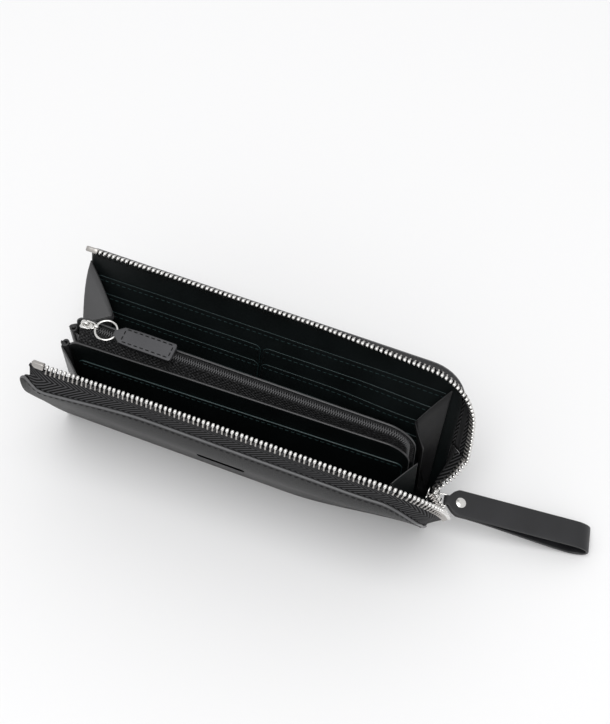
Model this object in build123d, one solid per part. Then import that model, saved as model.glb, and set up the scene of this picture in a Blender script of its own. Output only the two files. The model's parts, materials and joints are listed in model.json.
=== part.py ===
from build123d import *
import os
from math import asin, cos, pi, radians, sin, sqrt

# A long zip wallet that stands open on its spine. The zip runs along the top and down the right side.
# Origin: centre of the spine's underside. +X along the wallet, -Y towards the front cover, +Z up.
# Covers and zips are drawn closed, with the covers upright, and are then turned open about the spine.

# --- whole wallet ---
LENGTH = 195.0
HALF = LENGTH / 2
SPINE_HALF = 13.5          # half the wallet's thickness at the spine
COVER_TOP = 84.5           # top edge of the cover leather, closed
COVER_FOOT = 2.8           # the covers start this high, above the bend of the spine
CORNER_R = 20.0            # top right corner, where the zip turns down
SMALL_R = 3.0
CURL_START = 66.0          # above this height the front cover curls in towards the zip
CURL_R = 38.0
CURL_TURN = 38             # degrees of the curl's arc, which ends above the cover's top edge
FRONT_OPEN = 20.0          # degrees from closed to the rest pose
BACK_OPEN = 19.0
HINGE_Y = 12.9
HINGE_Z = 1.0

# --- layers of a cover, from the outside in ---
LEATHER = 1.2
BOARD = 0.5
LINING = 0.6
CARD_LEATHER = 0.38
LAYER_GAP = 0.02

# --- plain plate on the outside of the front cover ---
BADGE_LEFT = -10.0
BADGE_RIGHT = 13.0
BADGE_LOW = 60.5
BADGE_HIGH = 66.0
BADGE_T = 0.7

# --- main zip ---
TAPE_WIDTH = 9.8           # visible tape, from the leather's edge to the teeth
TAPE_TUCK = 3.0
TAPE_T = 0.5
TOOTH_LENGTH = 3.2
TOOTH_WIDTH = 1.25
TOOTH_HEIGHT = 2.3
TOOTH_PITCH = 2.3
ROW_GAP = 0.25             # half the gap between closed rows
MEETING = 0.12             # teeth and stops are trimmed this far from the plane where the rows meet
TEETH_START = -86.7
BACK_STAND = 0.81          # the back tape's free end stands up: its lean there, as a share of the closed lean
STAND_END = 110.0          # from this distance along the zip to the corner, the lean grows back to the full one
STOP_LENGTH = 6.0
STOP_HEIGHT = 2.8
SIDE_END = 42.0            # below this height the rows leave the covers and run to the slider

# --- main slider, at the foot of the right side ---
SLIDER_X = 95.0
SLIDER_Z = 24.0
SLIDER_LENGTH = 10.0
SLIDER_HALF = 4.6
PLATE_T = 1.0
CHANNEL = 3.0

# --- wrist strap ---
PIVOT_X = 102.6
PIVOT_Z = 25.2
LINK_WIRE = 0.9
LINK_WIDTH = 7.2
LINK_STANDOFF = 0.85       # from the slider's plate to the link
STRAP_WIDTH = 13.5
STRAP_T = 1.3
STRAP_LENGTH = 75.0
STRAP_YAW = 11.5
STRAP_SLOPE = 13.3
STRAP_END_R = 5.0
RIVET_AT = 6.8
RIVET_R = 2.6
NECK_HALF = 2.45           # half width of the fold round the link
SHOULDER = 1.7             # the strap widens at this distance from the link
SHOULDER_HALF = 4.3
EYE_R = 1.5                # outer radius of the strap's fold round the link

# --- zipped coin purse in the middle ---
PURSE_LEFT = -90.5
PURSE_RIGHT = 83.0
PURSE_BACK_Y = 5.8
PURSE_FRONT_Y = -5.6       # outer face of the front panel at its left end
PURSE_TAPER = 1.45         # degrees: the purse is thinner at its right end
PURSE_BACK_TOP = 73.5
PURSE_FRONT_TOP = 66.9
SLIP_TOP = 52.0
PURSE_FOOT = 3.2
PURSE_T = 1.1
EAR_TOP = 61.5
EAR_R = 2.4
EAR_X = PURSE_LEFT - EAR_R - 0.05
COIL_Y = 1.6
COIL_Z = 73.5
COIL_W = 3.0
COIL_H = 1.6
COIL_CORNER = 10.0
COIL_END_Z = 49.0
COIL_RIGHT = 79.8

# --- purse slider, ring and puller ---
SMALL_SLIDER_X = -82.3
SMALL_SLIDER_LENGTH = 6.6
SMALL_SLIDER_HALF = 2.7
PULL_LEVEL = COIL_Z + COIL_H / 2 + 1.95
EYE_X = -77.2              # where the ring passes through the tab's eye
RING_R = 5.3
RING_WIRE = 0.6
RING_X = EYE_X + RING_R
PULLER_RIGHT = -37.0
PULLER_LENGTH = 28.0
PULLER_WIDTH = 10.0
PULLER_T = 2.4


# --- helpers ---
def box_between(x0, x1, y0, y1, z0, z1):
    """Solid box from its lowest to its highest corner."""
    return Pos((x0 + x1) / 2, (y0 + y1) / 2, (z0 + z1) / 2) * Box(x1 - x0, y1 - y0, z1 - z0)


def outline(left, right, foot, top, corner, left_corner=SMALL_R):
    """Prism through the wallet's thickness with the cover's outline: round at its top right corner."""
    corner_at = (right - corner * (1 - cos(pi / 4)), top - corner * (1 - sin(pi / 4)))
    left_at = (left + left_corner * (1 - cos(pi / 4)), top - left_corner * (1 - sin(pi / 4)))
    edge = Polyline((left, top - left_corner), (left, foot), (right, foot), (right, top - corner))
    edge += ThreePointArc((right, top - corner), corner_at, (right - corner, top))
    edge += Line((right - corner, top), (left + left_corner, top))
    edge += ThreePointArc((left + left_corner, top), left_at, (left, top - left_corner))
    return extrude(Plane.XZ * make_face(edge), 30, both=True)


def cover_y(z, depth, side):
    """Y of a cover, drawn closed at the back, at height z and at a depth below its outer face."""
    if side > 0 or z <= CURL_START:
        return SPINE_HALF - depth
    return SPINE_HALF - CURL_R + sqrt((CURL_R - depth) ** 2 - (z - CURL_START) ** 2)


def curled_band(depth0, depth1, foot):
    """A layer of the front cover, upright and then curled in, along the whole wallet."""
    turn = radians(CURL_TURN)
    centre = SPINE_HALF - CURL_R

    def arc(depth):
        radius = CURL_R - depth
        mid = (centre + radius * cos(turn / 2), CURL_START + radius * sin(turn / 2))
        end = (centre + radius * cos(turn), CURL_START + radius * sin(turn))
        return (SPINE_HALF - depth, CURL_START), mid, end

    outer = arc(depth0)
    inner = arc(depth1)
    edge = Polyline(inner[0], (inner[0][0], foot), (outer[0][0], foot), outer[0])
    edge += ThreePointArc(*outer)
    edge += Line(outer[2], inner[2])
    edge += ThreePointArc(*inner)
    return extrude(Plane.YZ * make_face(edge), HALF + 5, both=True)


def layer(depth0, depth1, left, right, foot, top, corner, side):
    """A layer of a cover, drawn closed at the back, between two depths and cut to its outline."""
    if side < 0:
        band = curled_band(depth0, depth1, foot)
    else:
        band = box_between(left, right, SPINE_HALF - depth1, SPINE_HALF - depth0, foot, top)
    return band & outline(left, right, foot, top, corner)


def opening(side):
    """Degrees from closed to the rest pose: side 1 is the back cover, -1 the front."""
    return BACK_OPEN if side > 0 else FRONT_OPEN


def opened(solid, side):
    """Turn a piece of the closed back cover to its place at rest, on either side."""
    if side < 0:
        solid = mirror(solid, Plane.XZ)
    hinge = Axis((0, side * HINGE_Y, HINGE_Z), (-side, 0, 0))
    return solid.rotate(hinge, opening(side))


def opened_point(x, y, z, side):
    """The place at rest of a point on the closed back cover."""
    angle = radians(opening(side))
    out = (y - HINGE_Y) * cos(angle) + (z - HINGE_Z) * sin(angle)
    up = (z - HINGE_Z) * cos(angle) - (y - HINGE_Y) * sin(angle)
    return x, side * (HINGE_Y + out), HINGE_Z + up


def quad_bar(sections):
    """A closed solid through four-sided sections, with straight faces between them."""
    wires = [Wire.make_polygon([Vector(*point) for point in section]) for section in sections]
    return Solid.make_loft(wires, True)


def strip(stations, thickness):
    """Ruled strip of even thickness. A station is (edge point, far point, thickness direction)."""
    sections = []
    for near, far, way in stations:
        shift = Vector(*way).normalized() * thickness
        a = Vector(*near)
        b = Vector(*far)
        sections.append([tuple(a), tuple(b), tuple(b + shift), tuple(a + shift)])
    return quad_bar(sections)


# --- path of the main zip on the closed back cover ---
STRAIGHT = (HALF - CORNER_R) - TEETH_START
ARC_LENGTH = CORNER_R * pi / 2
SIDE_LENGTH = (COVER_TOP - CORNER_R) - SIDE_END


def leather_edge(distance):
    """Point (x, z) of the leather's edge and its outward direction, by distance from the first tooth."""
    if distance <= STRAIGHT:
        return TEETH_START + distance, COVER_TOP, 0.0, 1.0
    if distance <= STRAIGHT + ARC_LENGTH:
        turn = (distance - STRAIGHT) / CORNER_R
        x = HALF - CORNER_R + CORNER_R * sin(turn)
        z = COVER_TOP - CORNER_R + CORNER_R * cos(turn)
        return x, z, sin(turn), cos(turn)
    return HALF, COVER_TOP - CORNER_R - (distance - STRAIGHT - ARC_LENGTH), 1.0, 0.0


def stand(distance, side):
    """Share of the closed lean that the tape has at rest, by distance from the first tooth."""
    if side < 0:
        return 1.0
    share = min(max((distance - STAND_END) / (STRAIGHT - STAND_END), 0.0), 1.0)
    return BACK_STAND + (1 - BACK_STAND) * share


def zip_ray(distance, side):
    """Start of the visible tape and its direction towards the teeth, on the closed back cover."""
    x, z, out_x, out_z = leather_edge(distance)
    y = cover_y(z, LEATHER + TAPE_T / 2 + LAYER_GAP, side)
    lean = asin((y - ROW_GAP) / (TAPE_WIDTH + TOOTH_LENGTH)) * stand(distance, side)
    return Vector(x, y, z), Vector(out_x * cos(lean), -sin(lean), out_z * cos(lean))


def zip_distances():
    """Stations for the tape: few on the straights, more round the corner."""
    twist = [STAND_END + (STRAIGHT - STAND_END) * step / 4 for step in range(4)]
    corner = [STRAIGHT + ARC_LENGTH * step / 6 for step in range(7)]
    left_end = -(HALF - 2.0 + TEETH_START)
    return [left_end] + twist + corner + [STRAIGHT + ARC_LENGTH + SIDE_LENGTH]


def main_tape(side):
    """Zip tape of a cover, drawn closed, from just outside the leather's edge to the teeth."""
    stations = []
    for distance in zip_distances():
        start, way = zip_ray(distance, side)
        x, z, out_x, out_z = leather_edge(distance)
        along = Vector(out_z, 0, -out_x)
        normal = way.cross(along)
        near = start + way * 0.1 - normal * (TAPE_T / 2)
        far = start + way * TAPE_WIDTH - normal * (TAPE_T / 2)
        stations.append((tuple(near), tuple(far), tuple(normal)))
    return strip(stations, TAPE_T)


def tape_tuck(side):
    """The hidden edge of the tape, sewn between the leather and the board."""
    depth = LEATHER + LAYER_GAP
    inner = outline(-HALF + 2, HALF - TAPE_TUCK, COVER_FOOT, COVER_TOP - TAPE_TUCK, CORNER_R - TAPE_TUCK)
    return layer(depth, depth + TAPE_T, -HALF + 2, HALF - 0.1, SIDE_END, COVER_TOP - 0.1, CORNER_R, side) - inner


def zip_block(distance, width, height, side):
    """Block on the tape's edge, in the plane of the tape, trimmed where the two rows meet."""
    start, way = zip_ray(distance, side)
    x, z, out_x, out_z = leather_edge(distance)
    along = Vector(out_z, 0, -out_x)
    base = Plane(origin=start + way * (TAPE_WIDTH + TOOTH_LENGTH / 2 + 0.02), x_dir=along, z_dir=way)
    half_space = box_between(-LENGTH, LENGTH, MEETING, SPINE_HALF * 2, 0, LENGTH)
    return (base * Box(width, height, TOOTH_LENGTH)) & half_space


def main_teeth(side):
    """The row of teeth on one cover."""
    total = STRAIGHT + ARC_LENGTH + SIDE_LENGTH
    count = int(total / TOOTH_PITCH)
    return [zip_block(index * TOOTH_PITCH, TOOTH_WIDTH, TOOTH_HEIGHT, side) for index in range(count)]


def top_stop(side):
    """Metal block that ends a row at the left."""
    return zip_block(-STOP_LENGTH / 2 - 1.2, STOP_LENGTH, STOP_HEIGHT, side)


# --- lower right end of the zip, between the covers and the slider ---
def tail_stations(side):
    """Leather edge and tooth line at rest, from the cover's last tooth down to the slider's mouth."""
    last = STRAIGHT + ARC_LENGTH + SIDE_LENGTH
    start, way = zip_ray(last, side)
    root = start + way * TAPE_WIDTH
    upper_edge = opened_point(start.X, start.Y, start.Z - 0.3, side)
    upper_root = opened_point(root.X, root.Y, root.Z - 0.3, side)
    lower_edge = opened_point(HALF - 0.5, SPINE_HALF - LEATHER - 0.6, 30.0, side)
    foot_edge = opened_point(HALF - 0.7, SPINE_HALF - LEATHER - 1.0, 17.0, side)
    mouth = (SLIDER_X, side * 3.0, SLIDER_Z + SLIDER_LENGTH / 2 + 0.6)
    middle = ((upper_root[0] + mouth[0]) / 2 + 0.8, (upper_root[1] + mouth[1]) / 2 + side * 0.6,
              (upper_root[2] + mouth[2]) / 2 - 0.4)
    return [(upper_edge, upper_root), (lower_edge, middle), (foot_edge, mouth)]


def zip_tail(side):
    """The tape's last stretch, a web that turns in from the cover to the slider."""
    stations = [(edge, root, (1, 0, 0)) for edge, root in tail_stations(side)]
    return strip(stations, TAPE_T)


def tail_teeth(side):
    """Teeth of the last stretch, upright across the line from the cover to the slider."""
    roots = [Vector(*root) for edge, root in tail_stations(side)]
    teeth = []
    for first, second in zip(roots, roots[1:]):
        run = second - first
        count = int(run.length / TOOTH_PITCH)
        inward = Vector(0, -side, 0)
        across = (inward - run.normalized() * inward.dot(run.normalized())).normalized()
        for index in range(count):
            middle = first + run * ((index + 0.5) / count) + across * (TOOTH_LENGTH / 2 + 0.4)
            base = Plane(origin=middle, x_dir=run.normalized(), z_dir=across)
            teeth.append(base * Box(TOOTH_WIDTH, TOOTH_HEIGHT, TOOTH_LENGTH))
    return teeth


# --- centre: spine, purse, gussets ---
def spine_leather():
    """Underside of the outer leather, rounded where it turns up into the covers."""
    strip_box = box_between(-HALF, HALF, -SPINE_HALF, SPINE_HALF, 0, LEATHER)
    return fillet(strip_box.edges().filter_by(Axis.X).group_by(Axis.Z)[0], LEATHER * 0.8)


def purse_outline(foot, top, right, corner):
    """Prism with the purse's outline, round at the top right."""
    return outline(PURSE_LEFT, right, foot, top, corner, 6.0)


def tapered(solid):
    """Turn a front piece of the purse about its left end, so that the purse thins to the right."""
    return solid.rotate(Axis((PURSE_LEFT, PURSE_FRONT_Y, 0), (0, 0, 1)), PURSE_TAPER)


def purse_back_panel():
    """Back leather of the purse."""
    slab = box_between(PURSE_LEFT, PURSE_RIGHT, PURSE_BACK_Y - PURSE_T, PURSE_BACK_Y, PURSE_FOOT, PURSE_BACK_TOP)
    return slab & purse_outline(PURSE_FOOT, PURSE_BACK_TOP, PURSE_RIGHT, 15)


def purse_front_panel():
    """Front leather of the purse, lower than the back."""
    slab = box_between(PURSE_LEFT, PURSE_RIGHT - 1, PURSE_FRONT_Y, PURSE_FRONT_Y + PURSE_T,
                       PURSE_FOOT, PURSE_FRONT_TOP)
    return tapered(slab & purse_outline(PURSE_FOOT, PURSE_FRONT_TOP, PURSE_RIGHT - 1, 12))


def divider_slip_pocket():
    """Flat pocket on the purse's front face."""
    slab = box_between(PURSE_LEFT + 4, PURSE_RIGHT - 4, PURSE_FRONT_Y - 0.9, PURSE_FRONT_Y - 0.1, PURSE_FOOT, SLIP_TOP)
    return tapered(slab)


def purse_lining():
    """Fabric bag inside the purse."""
    back = box_between(PURSE_LEFT + 5, PURSE_RIGHT - 5, PURSE_BACK_Y - PURSE_T - 0.5, PURSE_BACK_Y - PURSE_T - 0.1,
                       PURSE_FOOT + 1, 60)
    front = tapered(box_between(PURSE_LEFT + 5, PURSE_RIGHT - 6, PURSE_FRONT_Y + PURSE_T + 0.1,
                                PURSE_FRONT_Y + PURSE_T + 0.5, PURSE_FOOT + 1, 60))
    return [back, front]


def purse_tape(toward_back):
    """Woven tape from a panel's top edge to the coil."""
    if toward_back:
        near_y = PURSE_BACK_Y - PURSE_T - 0.15
        near_z = PURSE_BACK_TOP - 0.8
        slope = 0.0
        far_y = COIL_Y + COIL_W / 2 + 0.4
    else:
        near_y = PURSE_FRONT_Y + PURSE_T + 0.15
        near_z = PURSE_FRONT_TOP - 0.8
        slope = sin(radians(PURSE_TAPER))
        far_y = COIL_Y - COIL_W / 2 - 0.4
    stations = []
    for x in (PURSE_LEFT + 3, COIL_RIGHT - COIL_CORNER - 4):
        near = (x, near_y + (x - PURSE_LEFT) * slope, near_z)
        far = (x, far_y, COIL_Z)
        stations.append((near, far, (0, 0.3, -1)))
    return strip(stations, 0.4)


def coil_path():
    """Line of the purse's zip: along the top, round its right corner and down."""
    top_end = COIL_RIGHT - COIL_CORNER
    corner = ThreePointArc(
        (top_end, COIL_Y, COIL_Z),
        (top_end + COIL_CORNER * sin(pi / 4), COIL_Y, COIL_Z - COIL_CORNER * (1 - cos(pi / 4))),
        (COIL_RIGHT, COIL_Y, COIL_Z - COIL_CORNER))
    start = Line((PURSE_LEFT + 5, COIL_Y, COIL_Z), (top_end, COIL_Y, COIL_Z))
    end = Line((COIL_RIGHT, COIL_Y, COIL_Z - COIL_CORNER), (COIL_RIGHT, COIL_Y, COIL_END_Z))
    return start + corner + end


def purse_coil():
    """The two meshed coils as one flat bar."""
    section = Plane(origin=(PURSE_LEFT + 5, COIL_Y, COIL_Z), x_dir=(0, 1, 0), z_dir=(1, 0, 0))
    return sweep(section * Rectangle(COIL_W, COIL_H), coil_path())


def purse_end_stop():
    """Small metal clip at the lower end of the purse's zip."""
    return box_between(COIL_RIGHT - 1.3, COIL_RIGHT + 1.3, COIL_Y - 1.2, COIL_Y + 2.2, COIL_END_Z - 2.4,
                       COIL_END_Z - 0.05)


def purse_end_web():
    """Leather strip that closes the purse's right end."""
    return box_between(PURSE_RIGHT - 3.2, PURSE_RIGHT - 2.4, 1.0, PURSE_BACK_Y - PURSE_T - 0.3, PURSE_FOOT, 40)


def purse_left_gusset():
    """Folded leather that closes the purse's left end, with a rolled ear along each edge."""
    back_y = PURSE_BACK_Y - EAR_R + 0.9
    front_y = PURSE_FRONT_Y + EAR_R - 0.9
    ears = [Pos(EAR_X, y, (PURSE_FOOT + EAR_TOP) / 2) * Cylinder(EAR_R, EAR_TOP - PURSE_FOOT)
            for y in (back_y, front_y)]
    mid_y = (back_y + front_y) / 2
    fold = []
    for y in (back_y, front_y):
        way = 1 if y > mid_y else -1
        near = (EAR_X + 1, y - way * (EAR_R - 0.4), PURSE_FOOT)
        far = (EAR_X + 8, mid_y + way * 0.3, PURSE_FOOT)
        low = (near, far, (0, -way, 0))
        high = ((near[0], near[1], EAR_TOP - 3), (far[0], far[1], EAR_TOP - 8), (0, -way, 0))
        fold.append(strip([low, high], 0.7))
    return ears + fold


def gusset(side, right_end):
    """Fold between a cover's edge and the purse, at the left or the right end, drawn at rest."""
    end = 1 if right_end else -1
    edge_x = end * (HALF - (9.0 if right_end else 1.6))
    tip_x = end * (HALF - (22.0 if right_end else 18.5))
    inner_x = PURSE_RIGHT - 1.0 if right_end else PURSE_LEFT - 1.2
    depth = LEATHER + BOARD + LINING + 2.1
    head_z = 74.0 if right_end else 78.0
    cover_foot = opened_point(edge_x, SPINE_HALF - depth, 9.0, side)
    cover_head = opened_point(edge_x, cover_y(head_z - 1, depth, side), head_z, side)
    purse_y = (PURSE_BACK_Y if side > 0 else PURSE_FRONT_Y) + side * 1.3
    purse_foot = (inner_x, purse_y, 9.0)
    purse_head = (inner_x, purse_y, 58.0)
    tip_foot = (end * (HALF - 8.5), (cover_foot[1] + purse_y) / 2, 8.0)
    tip_head = (tip_x, (cover_head[1] * 0.45 + purse_y * 0.55), 57.0)
    panels = []
    for foot, head, bias in ((cover_foot, cover_head, 1), (purse_foot, purse_head, -1)):
        shift = Vector(0, side * bias * 0.4, 0)
        low = (foot, tuple(Vector(*tip_foot) + shift), (end, 0, 0))
        high = (head, tuple(Vector(*tip_head) + shift), (end, 0, 0))
        panels.append(strip([low, high], 0.7))
    return panels


def bottom_stop():
    """Metal clip below the slider."""
    return box_between(SLIDER_X - 1.6, SLIDER_X + 1.6, -2.6, 2.6, 12.4, 15.6)


def zip_foot():
    """Joined ends of the two tapes, below the stop and down to the spine."""
    upper = [(SLIDER_X - 0.25, -3.2, 12.2), (SLIDER_X + 0.25, -3.2, 12.2),
             (SLIDER_X + 0.25, 3.2, 12.2), (SLIDER_X - 0.25, 3.2, 12.2)]
    lower = [(93.0, -6.5, LEATHER + LINING), (93.5, -6.5, LEATHER + LINING),
             (93.5, 6.5, LEATHER + LINING), (93.0, 6.5, LEATHER + LINING)]
    return quad_bar([lower, upper])


# --- main slider and wrist strap ---
def slider_body():
    """Two plates on a central post, with a bridge for the pull on the outer plate."""
    low = SLIDER_Z - SLIDER_LENGTH / 2
    high = SLIDER_Z + SLIDER_LENGTH / 2
    plate = Plane.YZ * (Rectangle(SLIDER_HALF * 2, SLIDER_LENGTH))
    plate = fillet(plate.vertices(), 2.2)
    inner = Pos(SLIDER_X - CHANNEL / 2 - PLATE_T, 0, SLIDER_Z) * extrude(plate, PLATE_T)
    outer = Pos(SLIDER_X + CHANNEL / 2, 0, SLIDER_Z) * extrude(plate, PLATE_T)
    post = box_between(SLIDER_X - CHANNEL / 2, SLIDER_X + CHANNEL / 2, -0.7, 0.7, high - 3.5, high - 0.4)
    bridge_x = SLIDER_X + CHANNEL / 2 + PLATE_T
    bridge = box_between(bridge_x - 0.1, bridge_x + 2.8, -1.3, 1.3, low + 1.2, high - 2.4)
    window = box_between(bridge_x, bridge_x + 2.1, -2, 2, low + 2.3, high - 3.2)
    return inner + outer + post + (bridge - window)


def strap_place():
    """Location of the strap's own frame: origin at the link's end bar, x along the strap."""
    near = SLIDER_X + CHANNEL / 2 + PLATE_T + LINK_STANDOFF + LINK_WIRE / 2
    reach = PIVOT_X - near
    return Pos(near, 0, PIVOT_Z) * Rot(0, 0, STRAP_YAW) * Pos(reach, 0, 0) * Rot(0, STRAP_SLOPE, 0)


def pull_link():
    """Flat rounded link from the slider's bridge to the strap, drawn level."""
    near = SLIDER_X + CHANNEL / 2 + PLATE_T + LINK_STANDOFF
    far = PIVOT_X + LINK_WIRE / 2
    centre = Pos((near + far) / 2, 0, PIVOT_Z)
    rim = RectangleRounded(far - near, LINK_WIDTH, 1.2)
    window = RectangleRounded(far - near - 2 * LINK_WIRE, LINK_WIDTH - 2 * LINK_WIRE, 0.5)
    level = centre * Pos(0, 0, -LINK_WIRE / 2) * extrude(rim - window, LINK_WIRE)
    return level.rotate(Axis((near + LINK_WIRE / 2, 0, 0), (0, 0, 1)), STRAP_YAW)


def strap_profile():
    """Side view of the strap: doubled at the neck and rivet, then opening into a long flat loop."""
    top = STRAP_T + 0.05
    end_x = STRAP_LENGTH - STRAP_END_R
    inner_r = STRAP_END_R - STRAP_T
    split = RIVET_AT + 4
    outer = Polyline((0, EYE_R), (0.6, top), (end_x, top))
    outer += ThreePointArc((end_x, top), (end_x + STRAP_END_R, top - STRAP_END_R), (end_x, top - 2 * STRAP_END_R))
    outer += Polyline((end_x, top - 2 * STRAP_END_R), (split, -top), (0.6, -top), (0, -EYE_R))
    outer += ThreePointArc((0, -EYE_R), (-EYE_R, 0), (0, EYE_R))
    inner = Polyline((split, -0.05), (split + 0.5, 0.05), (end_x, 0.05))
    inner += ThreePointArc((end_x, 0.05), (end_x + inner_r, 0.05 - inner_r), (end_x, 0.05 - 2 * inner_r))
    inner += Line((end_x, 0.05 - 2 * inner_r), (split, -0.05))
    return make_face(outer) - make_face(inner) - Circle(EYE_R - 0.6)


def strap_loop():
    """The strap, narrowed towards its neck."""
    band = extrude(Plane.XZ * strap_profile(), STRAP_WIDTH / 2, both=True)
    half = STRAP_WIDTH / 2
    edge = [(-4, NECK_HALF), (SHOULDER - 0.8, NECK_HALF), (SHOULDER, SHOULDER_HALF), (RIVET_AT - 1.3, half),
            (STRAP_LENGTH + 2, half)]
    plan = Polyline(*edge, *[(x, -y) for x, y in reversed(edge)], edge[0])
    neck = extrude(make_face(plan), 20, both=True)
    hole = Pos(RIVET_AT, 0, 0) * Cylinder(1.25, 8)
    return (band & neck) - hole


def strap_rivet():
    """Cap, post and base of the rivet."""
    cap = Pos(RIVET_AT, 0, STRAP_T + 0.55) * Cylinder(RIVET_R, 0.8)
    cap = fillet(cap.edges().group_by(Axis.Z)[-1], 0.5)
    post = Pos(RIVET_AT, 0, 0) * Cylinder(1.2, 2 * STRAP_T + 0.3)
    base = Pos(RIVET_AT, 0, -STRAP_T - 0.55) * Cylinder(RIVET_R, 0.7)
    return cap, post + base


# --- purse slider, ring and puller ---
def small_slider():
    """Slider of the purse's zip: plates above and below the coil, and a bridge for the tab."""
    half = SMALL_SLIDER_LENGTH / 2
    left = SMALL_SLIDER_X - half
    right = SMALL_SLIDER_X + half
    near = COIL_Y - SMALL_SLIDER_HALF
    far = COIL_Y + SMALL_SLIDER_HALF
    coil_top = COIL_Z + COIL_H / 2
    coil_foot = COIL_Z - COIL_H / 2
    top = box_between(left, right, near, far, coil_top + 0.25, coil_top + 1.05)
    top = fillet(top.edges().filter_by(Axis.Z), 1.6)
    bottom = box_between(left, right, COIL_Y - COIL_W / 2, COIL_Y + COIL_W / 2, coil_foot - 2.5, coil_foot - 1.7)
    bridge = box_between(SMALL_SLIDER_X - 2.8, SMALL_SLIDER_X + 1.5, COIL_Y - 0.9, COIL_Y + 0.9,
                         coil_top + 1.0, coil_top + 3.4)
    window = box_between(SMALL_SLIDER_X - 1.9, SMALL_SLIDER_X + 0.6, COIL_Y - 2, COIL_Y + 2,
                         coil_top + 1.05, coil_top + 2.7)
    return [top + (bridge - window), bottom]


def slider_tab():
    """Small cast tab: a loop on the slider's bridge and an eye round the ring."""
    start = SMALL_SLIDER_X - 1.1
    eye_left = EYE_X - 0.9
    loop = box_between(start, eye_left, COIL_Y - 2.0, COIL_Y + 2.0, PULL_LEVEL - 0.4, PULL_LEVEL + 0.4)
    slot = box_between(start + 0.8, eye_left - 0.5, COIL_Y - 1.15, COIL_Y + 1.15, PULL_LEVEL - 1, PULL_LEVEL + 1)
    across = Pos(EYE_X, COIL_Y, PULL_LEVEL) * Rot(90, 0, 0)
    eye = across * Cylinder(1.5, 1.6)
    hole = across * Cylinder(0.85, 4)
    return (loop - slot) + eye - hole


def pull_ring():
    """Round wire ring, lying flat."""
    return Pos(RING_X, COIL_Y, PULL_LEVEL) * Torus(RING_R, RING_WIRE)


def puller():
    """Leather puller: a narrow neck folded round the ring and a rectangular body."""
    half = PULLER_WIDTH / 2
    left = PULLER_RIGHT - PULLER_LENGTH
    low = PULL_LEVEL - PULLER_T / 2
    high = PULL_LEVEL + PULLER_T / 2
    body = box_between(left, PULLER_RIGHT, COIL_Y - half, COIL_Y + half, low, high)
    body = fillet(body.edges().filter_by(Axis.Z), 1.2)
    neck = box_between(RING_X + RING_R - 1.6, left + 1, COIL_Y - 1.8, COIL_Y + 1.8, low, high)
    room = Pos(RING_X, COIL_Y, PULL_LEVEL) * Torus(RING_R, RING_WIRE + 0.35)
    return body + neck - room


# --- name every piece ---
def cover_nodes(name, side):
    """Pieces that one cover and its half of the main zip are made of."""
    board_depth = LEATHER + TAPE_T + 2 * LAYER_GAP
    lining_depth = board_depth + BOARD + LAYER_GAP
    lining_end = lining_depth + LINING
    pieces = {
        f"{name}_cover_leather": layer(0, LEATHER, -HALF, HALF, COVER_FOOT, COVER_TOP, CORNER_R, side),
        f"{name}_cover_board": layer(board_depth, board_depth + BOARD, -HALF + 3, HALF - 3, 6.0,
                                     COVER_TOP - 3, CORNER_R - 3, side),
        f"{name}_cover_lining": layer(lining_depth, lining_end, -HALF + 1, HALF - 1, 5.0,
                                      COVER_TOP - 0.8, CORNER_R - 1, side),
        f"{name}_zip_tape": [main_tape(side), tape_tuck(side)],
        f"{name}_zip_teeth": main_teeth(side),
        f"{name}_zip_top_stop": top_stop(side),
    }
    return {node: opened_all(piece, side) for node, piece in pieces.items()}


def opened_all(piece, side):
    """Open one solid, or each solid of a group."""
    if isinstance(piece, list):
        return [opened(item, side) for item in piece]
    return opened(piece, side)


def card_nodes():
    """Card pockets on the back cover: a long slip pocket above three rows in two columns."""
    start = LEATHER + TAPE_T + BOARD + LINING + 4 * LAYER_GAP
    step = CARD_LEATHER + LAYER_GAP
    rows = {"long_slip_pocket": (0, 71.0, -HALF + 4, HALF - 8)}
    for index, top in enumerate((61.0, 51.0, 41.0)):
        rows[f"card_row_{index + 1}_left"] = (index + 1, top, -HALF + 5, -5.0)
        rows[f"card_row_{index + 1}_right"] = (index + 1, top, -3.6, HALF - 10)
    nodes = {}
    for node, (order, top, left, right) in rows.items():
        depth = start + order * step
        nodes[node] = opened(layer(depth, depth + CARD_LEATHER, left, right, 9.0, top, SMALL_R, 1), 1)
    return nodes


def name_plate():
    """Plain rectangular plate on the outside of the front cover."""
    inner = SPINE_HALF + LAYER_GAP
    plate = box_between(BADGE_LEFT, BADGE_RIGHT, inner, inner + BADGE_T, BADGE_LOW, BADGE_HIGH)
    return opened(plate, -1)


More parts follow.
